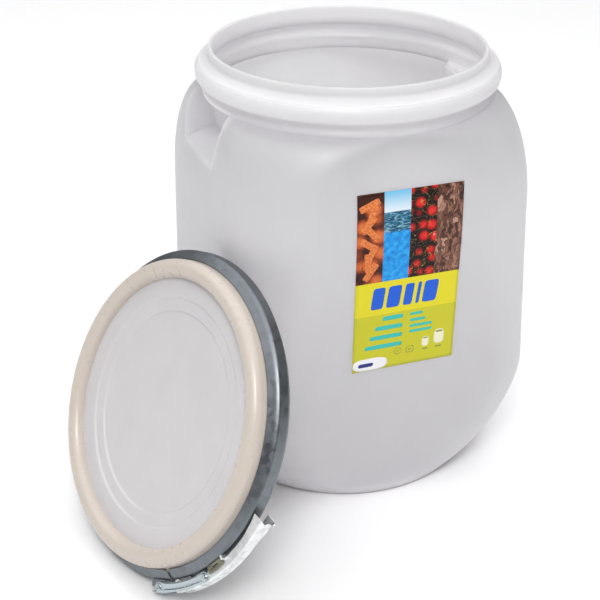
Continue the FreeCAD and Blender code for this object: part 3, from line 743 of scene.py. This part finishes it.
def seal_steel():
    """The seal bracket's strip: the same zinc under an olive passivation."""
    return shared("passivated_strip", galvanised_strip, "passivated_strip",
                  bpy.context.scene.drum_colours.seal, 0.4, 5.0)


def zinc():
    """The plating of link, rivets and pivot pin."""
    return shared("bright_zinc_plate", bright_zinc_plate, bpy.context.scene.drum_colours.zinc)


# ---------------------------------------------------------------- lid, ring and closure shapes

def resampled(path, count):
    """A path of the same shape whose points are evenly spaced along it."""
    run = np.concatenate([[0], np.cumsum(np.linalg.norm(np.diff(path, axis=0), axis=1))])
    at = np.linspace(0, run[-1], count)
    return np.stack([np.interp(at, run, path[:, 0]), np.interp(at, run, path[:, 1])], -1)


def lid_rim_profile(lid):
    """The rim's U section: round bead over the mouth rim, plug inside, skirt and flange outside."""
    c, r, t = lid.bead_centre, lid.bead, lid.bead_t
    hollow = r - 3.5 * MM
    inside = arc((c, t), hollow, math.pi, 0, 17)
    crown = arc((c, t), r, 0, math.pi, 41)
    skirt = softened([(c + hollow, t - 1 * MM), (c + hollow, 5.5 * MM), (lid.flange, 5.5 * MM),
                      (lid.flange, 10.3 * MM), (c + r, 12.9 * MM), (c + r, t - 1 * MM)], 1.2 * MM)
    plug = softened([(c - r, t - 1 * MM), (c - r, 2 * MM), (c - hollow, 2 * MM), (c - hollow, t - 1 * MM)],
                    1.2 * MM)
    return np.concatenate([plug, inside, skirt, crown])


def lid_panel_profile(lid):
    """The panel from the middle of its underside, out to its edge and back over the stepped top."""
    edge, top = lid.bead_centre - lid.bead + 0.4 * MM, lid.panel_t
    one, two, drop, run = lid.step_one, lid.step_two, lid.step_drop, 2.4 * MM
    upper = np.array([(edge, top + 0.4 * MM), (edge - 5 * MM, top), (one, top), (one - run, top - drop),
                      (two, top - drop), (two - run, top - 2 * drop), (two - 30 * MM, top - 2 * drop),
                      (40 * MM, top - 2 * drop + 0.4 * MM), (0, top - 2 * drop + 0.5 * MM)])
    upper = softened(upper, 2.2 * MM, 7)
    lower = upper[::-1] - np.array([[0, 3 * MM]])
    return np.concatenate([lower, upper])


def disc(profile, columns=288):
    """A profile turned about the lid's axis from pole to pole."""
    turn = np.linspace(0, 2 * math.pi, columns, endpoint=False)[None, :]
    sides = ring_points(profile[1:-1, :1], turn, profile[1:-1, 1:]).reshape(-1, 3)
    poles = ring_points(np.zeros(2), np.zeros(2), profile[[0, -1], 1])
    return capped(sides, len(profile) - 2, columns, poles)


def gasket_profile(lid):
    """A D section in the top of the channel, its flat face a little hollowed by the mouth rim."""
    radius = lid.bead - 3.6 * MM
    face = 22.5 * MM - lid.bead_t
    half = math.sqrt(radius ** 2 - face ** 2)
    across = np.linspace(-half, half, 13)
    dent = 0.5 * MM * np.cos(across / half * math.pi / 2) ** 2
    flat = np.stack([lid.bead_centre + across, np.full(13, 22.5 * MM) + dent], -1)
    first = math.asin(face / radius)
    crown = arc((lid.bead_centre, lid.bead_t), radius, first, math.pi - first, 21)
    return np.concatenate([flat, crown[1:-1]])


def hoop_grid(ring):
    """The folded strip, from its lower lip over the wall to its upper lip, carried round to leave the
    gap. Both ends have rounded corners: near a lip's edge the strip stops short by the rise of a
    circle."""
    r, half = ring.radius, ring.wall_half
    path = softened([(r - 6.8 * MM, -half - 7.6 * MM), (r - 2.8 * MM, -half - 2.6 * MM), (r, -half),
                     (r, half), (r - 2.8 * MM, half + 2.6 * MM), (r - 11.4 * MM, half + 7.6 * MM)],
                    1.5 * MM, 5)
    path = resampled(path, 61)
    run = np.concatenate([[0], np.cumsum(np.linalg.norm(np.diff(path, axis=0), axis=1))])
    from_edge = np.minimum(run, run[-1] - run)
    first, last = (corner - np.sqrt(np.maximum(corner ** 2 - np.maximum(corner - from_edge, 0) ** 2, 0))
                   for corner in (1.5 * MM, 5 * MM))
    start = ring.gap + ring.gap_width / 2 + first / r
    end = ring.gap + 2 * math.pi - ring.gap_width / 2 - last / r
    share = np.linspace(0, 1, 361)[None, :]
    turn = start[:, None] + (end - start)[:, None] * share
    return ring_points(path[:, :1], turn, path[:, 1:])


def lever_grid(ring):
    """A channel, open towards the hoop, carried along the ring. Past the flare it widens and lifts,
    and its web rolls outwards through a small circle at the free end."""
    r_in, r_out = ring.pin_circle - ring.lever_in, ring.pin_circle + ring.lever_out
    half = ring.lever_half
    path = softened([(r_in, -half), (r_out, -half), (r_out, half), (r_in, half)], 2.2 * MM, 6)
    path = resampled(path, 57)
    start = ring.link_pin - math.radians(7.9)
    share = np.linspace(0, 1, 91)[None, :]
    across = path[:, 1:] / half
    wave = math.radians(0.55) * (1 - np.cos(across * 2 * math.pi)) / 2
    end = ring.lever_end - wave - math.radians(0.6)
    turn = start + (end - start) * share
    widen = np.clip((turn - ring.flare) / (ring.lever_end - ring.flare), 0, 1)
    widen = widen ** 2 * (3 - 2 * widen)
    deep = (path[:, :1] - r_in) / (r_out - r_in)
    ripple = 0.35 * MM * np.sin(turn * 70 + across * 2) * widen
    radius = path[:, :1] + 3 * MM * widen * deep + ripple
    t = path[:, 1:] * (1 + 0.36 * widen)
    roll = np.clip((share - 0.94) / 0.06, 0, 1) * math.radians(205)
    web = np.clip(1.25 - np.abs(across), 0, 0.45) / 0.45 * (deep > 0.9)
    curl = 1.9 * MM
    radius = radius + web * curl * (1 - np.cos(roll))
    turn = turn + web * curl * np.sin(roll) / r_out
    return ring_points(radius, turn, t)


def lever_sides(ring):
    """The channel's two side plates: straight along the lever, and round about the pivot pin."""
    pivot_radius = ring.pin_circle - 0.5 * MM
    centre = on_circle(pivot_radius, ring.pivot)
    reach = ring.pin_circle + ring.lever_out - pivot_radius
    nose = arc(centre, reach, ring.pivot, ring.pivot - math.pi, 25)
    finish = ring.link_pin - math.radians(7.4)
    turn = np.linspace(ring.pivot + math.radians(2.6), finish, 9)
    inner = np.stack([np.cos(turn), np.sin(turn)], -1) * (ring.pin_circle - ring.lever_in)
    back = np.linspace(finish, ring.pivot, 12)
    outer = np.stack([np.cos(back), np.sin(back)], -1) * (ring.pin_circle + ring.lever_out)
    outline = np.concatenate([nose, inner, outer[:-1]])[::-1]
    low, high = ring.lever_half - ring.sheet, ring.lever_half
    return [slab(outline, low, high), slab(outline, -high, -low)]


def seal_tab(ring):
    """The small folded tab that stands up beside the seal bracket."""
    middle = ring.link_pin + math.radians(11.6)
    r_in, r_out, turn = ring.pin_circle - 6.6 * MM, ring.pin_circle - 1.2 * MM, math.radians(0.4)
    corners = np.array([(r_in, -turn), (r_out, -turn), (r_out, turn), (r_in, turn)])
    outline = np.stack([corners[:, 0] * np.cos(middle + corners[:, 1]),
                        corners[:, 0] * np.sin(middle + corners[:, 1])], -1)
    return slab(outline, 6.9 * MM, 13.8 * MM)


def carried(loops, turn):
    """A closed section, of radius and height, carried along an arc, with its two ends closed."""
    grid = ring_points(loops[..., 0], turn[None, :], loops[..., 1])
    rows, columns = grid.shape[:2]
    ends = np.arange(rows) * columns
    caps = np.stack([ends, (ends + columns - 1)[::-1]])
    return grid.reshape(-1, 3), [quads(rows, columns, wrap_rows=True, wrap_columns=False), caps]


def link_arm(ring, side):
    """One arm of the link: a flat strip between the pins with rounded ends. Its outer face has a rib
    along each edge, a bell curve across the width that fades towards the pins."""
    reach = ring.arm_half / ring.pin_circle
    ease = (1 - np.cos(np.linspace(0, math.pi, 65))) / 2
    turn = ring.lug - reach * 0.995 + (ring.link_pin - ring.lug + 2 * reach * 0.995) * ease
    past = np.maximum(np.maximum(ring.lug - turn, turn - ring.link_pin), 0) * ring.pin_circle
    half = np.sqrt(np.maximum(ring.arm_half ** 2 - past ** 2, 0))
    waist = np.clip(np.minimum(turn - ring.lug, ring.link_pin - turn) / math.radians(7), 0, 1)
    half = half - 0.7 * MM * waist ** 2 * (3 - 2 * waist)
    across = np.concatenate([np.linspace(-1, 1, 25), np.linspace(1, -1, 25)])[:, None]
    on_top = np.concatenate([np.ones(25), np.zeros(25)])[:, None]
    rib = np.exp(-((np.abs(across) - 0.62) / 0.2) ** 2) * 0.85 * MM * waist
    edge = 0.25 * MM * np.abs(across) ** 16
    face = ring.link_half + rib - edge
    height = np.where(on_top > 0, face, ring.link_half - ring.sheet + edge)
    radius = ring.pin_circle + half * across
    loops = np.stack([np.broadcast_to(radius, height.shape), side * height], -1)
    return carried(loops[::-1] if side > 0 else loops, turn)


def link_web(ring):
    """The plate that joins the arms beyond the gap, along their outer edges."""
    turn = np.linspace(ring.lug - math.radians(3.2), ring.lug + math.radians(4.8), 17)
    half = ring.link_half - 0.1 * MM
    r_in = ring.pin_circle + 5.2 * MM
    r_out = r_in + ring.sheet
    section = softened([(r_in, 0), (r_in, -half), (r_out, -half), (r_out, half), (r_in, half),
                        (r_in, 0.1 * MM)], 0.4 * MM, 4)
    loops = np.broadcast_to(section[:, None, :], (len(section), len(turn), 2))
    return carried(loops, turn)


def rivet_head(reach, head, rise):
    """The upper half of a domed head's profile, from its rim over its crown to a shallow dimple."""
    share = np.linspace(0, 1, 9)
    radius = head * np.cos(share * math.pi / 2) ** 0.8
    dimple = 0.35 * MM * np.exp(-(radius / (0.35 * head)) ** 2)
    return np.stack([radius, reach + 0.3 * MM + rise * np.sin(share * math.pi / 2) - dimple], -1)


def solid_rivet(ring, turn):
    """A shank with a domed head at each end, turned about the pin's axis."""
    half, head = ring.link_half, ring.head
    top = rivet_head(half, head, 1.1 * MM)
    stem = np.array([(head, half), (ring.shank, half)])
    upper = np.concatenate([stem[::-1], top])
    lower = upper[::-1] * np.array([[1, -1]])
    return button(np.concatenate([lower, upper]), on_circle(ring.pin_circle, turn))


def tube_rivet(ring, turn, columns=36):
    """A tubular rivet: the same heads, rolled over round an open bore."""
    half, head, bore = ring.link_half, ring.head, 1.5 * MM
    upper = softened([(ring.shank, 0), (ring.shank, half), (head, half), (head, half + 0.5 * MM),
                      (head - 1.3 * MM, half + 1.5 * MM), (bore + 0.5 * MM, half + 1.3 * MM),
                      (bore, half + 0.4 * MM), (bore, 0)], 0.5 * MM, 4)
    loop = np.concatenate([upper, upper[::-1][1:-1] * np.array([[1, -1]])])
    turns = np.linspace(0, 2 * math.pi, columns, endpoint=False)
    spokes = np.stack([np.cos(turns), np.sin(turns)], -1)
    flat = on_circle(ring.pin_circle, turn) + loop[:, None, :1] * spokes
    return chunk(in_plane(flat, loop[:, None, 1]), wrap_rows=True)


def seal_bracket(ring):
    """An angle of sheet: a foot up the hoop's wall, and a flange that stands out, with a slot. The
    slot is where faces of the grid are left out."""
    r = ring.radius + 0.02 * MM
    rise = np.array([1, 5, 8.4, 9, 9.2, 9.2, 9.2, 9.2, 9.2]) * MM
    out = r + np.array([0, 0, 0, 0.3, 0.9, 3.6, 6.4, 8.7, 9.5]) * MM
    start = ring.link_pin + math.radians(2.8)
    turn = start + np.radians([0, 0.4, 2.2, 3.8, 5.4, 7.0, 7.4])
    grid = ring_points(out[:, None], turn[None, :], rise[:, None])
    faces = quads(len(out), len(turn), wrap_columns=False).reshape(len(out) - 1, len(turn) - 1, 4)
    open_slot = np.ones(faces.shape[:2], bool)
    open_slot[5, 2:4] = False
    return grid.reshape(-1, 3), [faces[open_slot]]


# ---------------------------------------------------------------- label shapes

def label_points(across, up, lift):
    """Points over the -Y face from the label's own coordinates in metres, lifted off the wall."""
    size = bpy.context.scene.drum_label
    x = size.middle_x - size.width / 2 + across
    z = size.middle_z - size.height / 2 + up
    x, z = np.broadcast_arrays(x, z)
    return np.stack([x, wall_y(bpy.context.scene.drum_sizes, x, z) - lift, z], -1)


def blob(middle, half, power=2.0, slant=0.0, turn=0.0, lift=0.03, waist=0.0):
    """A flat printed shape in millimetres, as rings round its middle: a superellipse, which is an
    oval at power 2 and a rounded bar at 6 or more. It may be slanted, turned, or drawn in at its
    waist with a notch in each end, as a bone is."""
    phase = np.linspace(0, 2 * math.pi, 48, endpoint=False)[None, :]
    cosine, sine = np.cos(phase), np.sin(phase)
    across = half[0] * np.sign(cosine) * np.abs(cosine) ** (2 / power)
    up = half[1] * np.sign(sine) * np.abs(sine) ** (2 / power)
    across = across * (1 - 0.22 * waist * np.exp(-(sine / 0.35) ** 2))
    up = up * (1 - waist * 0.62 * (1 - cosine ** 2) + waist * 0.25 * cosine ** 2)
    across = across + slant * up
    ring = np.array([1, 0.85, 0.6, 0.3])[:, None]
    across, up = across * ring, up * ring
    size = bpy.context.scene.drum_label
    away = (size.lift + lift * MM)
    x = middle[0] + across * math.cos(turn) - up * math.sin(turn)
    y = middle[1] + across * math.sin(turn) + up * math.cos(turn)
    points = label_points(x * MM, y * MM, away)
    pole = label_points(np.array(middle[0] * MM), np.array(middle[1] * MM), away)[None]
    here = np.arange(48)
    last = np.stack([here + 144, (here + 1) % 48 + 144, np.full(48, 192)], -1)
    return np.concatenate([points.reshape(-1, 3), pole]), [quads(4, 48), last]


def label_sheet():
    """The film as a grid: four picture columns over a yellow band over a green field."""
    size = bpy.context.scene.drum_label
    across = np.linspace(0, size.width, 25)
    levels = np.concatenate([np.linspace(0, 0.327, 15), np.linspace(0.327, 0.517, 9)[1:],
                             np.linspace(0.517, 1, 27)[1:]])
    grid = label_points(across[None, :], levels[:, None] * size.height, size.lift)
    shares = np.stack(np.broadcast_arrays(across[None, :] / size.width, levels[:, None]), -1)
    column = np.arange(24) // 6
    middle = (levels[1:] + levels[:-1]) / 2
    zone = np.where(middle[:, None] > 0.517, column[None, :],
                    np.where(middle[:, None] > 0.327, 4, 5))
    return chunk(grid, wrap_columns=False), zone.ravel(), shares.reshape(-1, 2)


INKS = {"blue": "#1F5FD6", "turquoise": "#3DBFB2", "ivory": "#ECE9C9", "grey": "#8E8F45",
        "navy": "#2B3580", "field": "#C9C62B", "white": "#EFEFF2"}
CRUSTS = ("crust_light", "crust_dark")

# In millimetres from the label's lower left corner. The title's bars: middle across, half width.
TITLE = ((29, 7.6), (49, 8.4), (67.5, 5.6), (80, 2.2), (95, 9))
TITLE_UP, TITLE_HALF = 96.5, 14
# Bars in place of small print: half width, height up. The left ones end and the right ones start here.
LEFT_BARS = ((13, 68.5), (17.5, 56), (20.5, 43.5), (23.5, 31))
RIGHT_BARS = ((8, 69), (10, 60.5), (14.5, 52.5), (14.5, 45))
LEFT_END, RIGHT_START = 62, 71
# Middles of the biscuits on top of the heap.
BISCUITS = ((14, 215), (20, 203), (12, 192), (20, 181), (13, 168), (19, 156), (13, 145), (19, 133))


def biscuits():
    """The biscuits on top of the heap, each turned and sized by chance and kept inside its picture."""
    rng = np.random.default_rng(7)
    turns = rng.uniform(-1.5, 1.5, len(BISCUITS))
    sizes = rng.uniform(12.5, 15, len(BISCUITS))
    return [(CRUSTS[number % 2], blob((min(max(x, long + 0.6), 31.8 - long), y), (long, 6.2), 2.2,
                                      turn=spin, lift=0.04 + 0.012 * number, waist=0.6))
            for number, ((x, y), spin, long) in enumerate(zip(BISCUITS, turns, sizes))]


def print_shapes():
    """Every shape printed over the film's fields, as (ink, points and faces), back to front. The title
    and the lines of small print are plain slanted bars."""
    bars = [("blue", blob((x, TITLE_UP), (half, TITLE_HALF), 7, 0.12)) for x, half in TITLE]
    left = [("turquoise", blob((LEFT_END - half, y), (half, 2.9), 7, 0.2)) for half, y in LEFT_BARS]
    right = [("turquoise", blob((RIGHT_START + half, y), (half, 1.9), 7, 0.2)) for half, y in RIGHT_BARS]
    drums = [("ivory", blob((93, 27.5), (4.6, 6.8), 3.2)),
             ("ivory", blob((110.5, 31.5), (6.6, 10), 3.2)),
             ("grey", blob((93, 32.4), (3.4, 0.9), lift=0.05)),
             ("grey", blob((110.5, 38.6), (5.0, 1.3), lift=0.05)),
             ("grey", blob((93, 17.3), (3.4, 1.0), 5)),
             ("grey", blob((110.5, 17.6), (4.2, 1.1), 5))]
    signs = [("grey", blob((57.5, 20.5), (5.0, 4.6))),
             ("field", blob((57.5, 20.5), (4.3, 3.9), lift=0.05)),
             ("grey", blob((57.5, 20.5), (2.6, 0.5), 4, turn=0.7, lift=0.07)),
             ("grey", blob((73, 20.5), (5.0, 4.6), 6)),
             ("field", blob((73, 20.5), (4.3, 3.9), 6, lift=0.05)),
             ("grey", blob((73, 21.0), (2.2, 2.0), lift=0.07)),
             ("field", blob((73, 21.8), (1.5, 1.6), lift=0.09))]
    corner = [("white", blob((22.5, 8.6), (22, 8.2), 3)),
              ("navy", blob((17, 8), (9.5, 2.6), 5, 0.15, lift=0.05))]
    return biscuits() + bars + left + right + drums + signs + corner


def print_shares(shapes):
    """Each printed point's place on the label, as shares of its width and height."""
    size = bpy.context.scene.drum_label
    points = np.concatenate([points for points, _ in shapes])
    across = (points[:, 0] - size.middle_x) / size.width + 0.5
    up = (points[:, 2] - size.middle_z) / size.height + 0.5
    return np.stack([across, up], -1)


# ---------------------------------------------------------------- operators

CAMERA_PLACE = (-0.54814, -1.35326, 0.97761)
CAMERA_RIGHT = (0.94133, -0.33747, 0.00427)
CAMERA_UP = (0.15662, 0.44802, 0.8802)
CAMERA_LOOK = (0.29894, 0.82789, -0.47459)
# Each soft box's name, place, side in metres and power in watts. All face a point on the axis.
SOFT_BOXES = (("Key", (-1.0, -2.5, 3.1), 1.2, 70.0), ("Top", (0.0, 0.6, 4.6), 9.0, 352.0))
FACED = Vector((0, 0, 0.25))


class DRUM_OT_stage(bpy.types.Operator):
    """Set the camera, the paper floor, the room's light and two soft boxes."""
    bl_idname = "drum.stage"
    bl_label = "Stage"

    def execute(self, context):
        scene = context.scene
        camera = bpy.data.objects.new("Camera", bpy.data.cameras.new("Camera"))
        camera.data.lens = 75.0
        camera.data.clip_start, camera.data.clip_end = 0.05, 60.0
        place = Matrix(((*CAMERA_RIGHT, 0), (*CAMERA_UP, 0), (*(-v for v in CAMERA_LOOK), 0),
                        (0, 0, 0, 1))).transposed()
        place.translation = Vector(CAMERA_PLACE)
        camera.matrix_world = place
        scene.collection.objects.link(camera)
        scene.camera = camera
        scene.view_settings.view_transform = "Standard"

        across = np.linspace(-9, 9, 19)
        grid = np.stack([*np.meshgrid(across, across), np.zeros((19, 19))], -1)
        points, faces = chunk(grid, wrap_columns=False)
        mesh = bpy.data.meshes.new("Floor")
        mesh.from_pydata(points.tolist(), [], faces[0].tolist())
        mesh.materials.append(matte_paper(scene.drum_colours.floor))
        floor = bpy.data.objects.new("Floor", mesh)
        scene.collection.objects.link(floor)

        world = bpy.data.worlds.new("Room")
        world.use_nodes = True
        room = world.node_tree.nodes["Background"].inputs
        room["Color"].default_value = linear("#FFFFFF")
        room["Strength"].default_value = 0.22
        scene.world = world
        for name, centre, size, power in SOFT_BOXES:
            lamp = bpy.data.lights.new(name, "AREA")
            lamp.size = size
            lamp.energy = power
            box = bpy.data.objects.new(name, lamp)
            box.location = centre
            box.rotation_euler = (FACED - Vector(centre)).to_track_quat("-Z", "Y").to_euler()
            scene.collection.objects.link(box)
        return {"FINISHED"}


class DRUM_OT_shell(bpy.types.Operator):
    """Make the drum's moulded skin, with its two grips and its collar."""
    bl_idname = "drum.shell"
    bl_label = "Drum shell"

    def execute(self, context):
        scene = context.scene
        skin = blow_moulded_polyethylene(scene.drum_colours.body)
        piece("drum_body", [drum_points(scene.drum_sizes)], [skin], "drum",
              ["drum_shell"], 45)
        return {"FINISHED"}


class DRUM_OT_label(bpy.types.Operator):
    """Make the label's film and the shapes printed on it."""
    bl_idname = "drum.label"
    bl_label = "Label"

    def execute(self, context):
        size = context.scene.drum_label
        sheet, zones, shares = label_sheet()
        fields = (("print_biscuits", biscuit_picture), ("print_water", water_picture),
                  ("print_berries", berry_picture), ("print_bark", bark_picture),
                  ("ink_yellow", flat_ink("#E2D626")), ("ink_green", flat_ink(INKS["field"])))
        films = [printed_film(name, draw) for name, draw in fields]
        film = piece("label_film", [sheet], films, "drum", ["label"], 60, zones, shares)
        thickened(film, size.film)
        inks = [printed_film(f"ink_{name}", flat_ink(code)) for name, code in INKS.items()]
        inks += [printed_film(f"print_{name}", biscuit_crust) for name in CRUSTS]
        order = [*INKS, *CRUSTS]
        named = print_shapes()
        shapes = [shape for _, shape in named]
        zones = np.concatenate([np.full(sum(len(group) for group in faces), order.index(ink))
                                for ink, (_, faces) in named])
        prints = piece("label_print", shapes, inks, "drum", (), 60, zones,
                       print_shares(shapes))
        thickened(prints, 0.02 * MM, even=False)
        return {"FINISHED"}


class DRUM_OT_lid(bpy.types.Operator):
    """Make the lid's rim, its stepped panel and its gasket."""
    bl_idname = "drum.lid"
    bl_label = "Lid"

    def execute(self, context):
        scene = context.scene
        lid, colours = scene.drum_lid, scene.drum_colours
        cream = moulded_lid_plastic("cream_moulded_polyethylene", colours.rim, 0.26, 0.05)
        white = moulded_lid_plastic("white_moulded_polyethylene", colours.panel, 0.3, 0.04)
        piece("lid_rim_bead", [about_ring(lid_rim_profile(lid))], [cream], "lid",
              ["lid_rim"], 40)
        piece("lid_disc", [disc(lid_panel_profile(lid))], [white], "lid", ["lid_panel"], 50)
        piece("gasket", [about_ring(gasket_profile(lid))], [closed_cell_foam(colours.foam)], "lid",
              ["lid_gasket"], 50)
        return {"FINISHED"}


class DRUM_OT_hoop(bpy.types.Operator):
    """Make the folded hoop, the seal bracket, and finish the small brackets of the frame."""
    bl_idname = "drum.hoop"
    bl_label = "Clamp hoop"

    def execute(self, context):
        ring = context.scene.drum_ring
        strip = chunk(hoop_grid(ring), wrap_columns=False)
        hoop = piece("hoop", [strip], [hoop_steel()], "clamp_ring", ["clamp_hoop"], 60)
        thickened(hoop, ring.sheet)
        angle_plate = piece("seal_plate", [seal_bracket(ring)], [seal_steel()], "clamp_ring",
                            ["seal_bracket"], 60)
        thickened(angle_plate, ring.sheet, side=1)
        for name in ("gap_tongue", "lug_bracket", "pivot_bracket"):
            for held in frame["nodes"][name].material_slots:
                held.material = hoop_steel()
        for held in frame["nodes"]["pivot_pin"].material_slots:
            held.material = zinc()
        return {"FINISHED"}


class DRUM_OT_lever(bpy.types.Operator):
    """Make the lever's channel, with its flared and rolled end, its side plates and its tab."""
    bl_idname = "drum.lever"
    bl_label = "Lever"

    def execute(self, context):
        ring = context.scene.drum_ring
        channel = piece("lever_channel", [chunk(lever_grid(ring), wrap_columns=False)], [lever_steel()],
                        "lever", ["lever"], 60)
        thickened(channel, ring.sheet)
        sides = piece("lever_sides", [*lever_sides(ring), seal_tab(ring)], [lever_steel()], "lever",
                      (), 40)
        broken_edges(sides, 0.35 * MM)
        return {"FINISHED"}


class DRUM_OT_link(bpy.types.Operator):
    """Make the link: two ribbed arms and the web between them."""
    bl_idname = "drum.link"
    bl_label = "Tension link"

    def execute(self, context):
        ring = context.scene.drum_ring
        piece("link", [link_arm(ring, 1), link_arm(ring, -1), link_web(ring)], [zinc()], "link",
              ["tension_link"], 50)
        return {"FINISHED"}


class DRUM_OT_rivets(bpy.types.Operator):
    """Make the solid rivet between link and lever, and the tubular rivet at the lug."""
    bl_idname = "drum.rivets"
    bl_label = "Rivets"

    def execute(self, context):
        ring = context.scene.drum_ring
        piece("lever_rivet", [solid_rivet(ring, ring.link_pin)], [zinc()], "lever",
              ["link_pin"], 40)
        piece("lug_rivet", [tube_rivet(ring, ring.lug)], [zinc()], "link", ["lug_pin"], 40)
        return {"FINISHED"}


OPERATORS = (DRUM_OT_stage, DRUM_OT_shell, DRUM_OT_label, DRUM_OT_lid, DRUM_OT_hoop, DRUM_OT_lever,
             DRUM_OT_link, DRUM_OT_rivets)


class DRUM_PT_build(bpy.types.Panel):
    """The drum's pieces, in the order in which they are made."""
    bl_label = "Open Head Drum"
    bl_idname = "DRUM_PT_build"
    bl_space_type = "VIEW_3D"
    bl_region_type = "UI"
    bl_category = "Drum"

    def draw(self, context):
        for operator in OPERATORS:
            self.layout.operator(operator.bl_idname)


def register():
    for group in (*GROUPS.values(), *OPERATORS, DRUM_PT_build):
        bpy.utils.register_class(group)
    for name, group in GROUPS.items():
        setattr(bpy.types.Scene, name, bpy.props.PointerProperty(type=group))


def unregister():
    for name in GROUPS:
        delattr(bpy.types.Scene, name)
    for group in (DRUM_PT_build, *reversed(OPERATORS), *GROUPS.values()):
        bpy.utils.unregister_class(group)


def main():
    """Registers everything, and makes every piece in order."""
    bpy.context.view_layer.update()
    register()
    for operator in OPERATORS:
        group, name = operator.bl_idname.split(".")
        getattr(getattr(bpy.ops, group), name)()


if __name__ == "__main__":
    main()
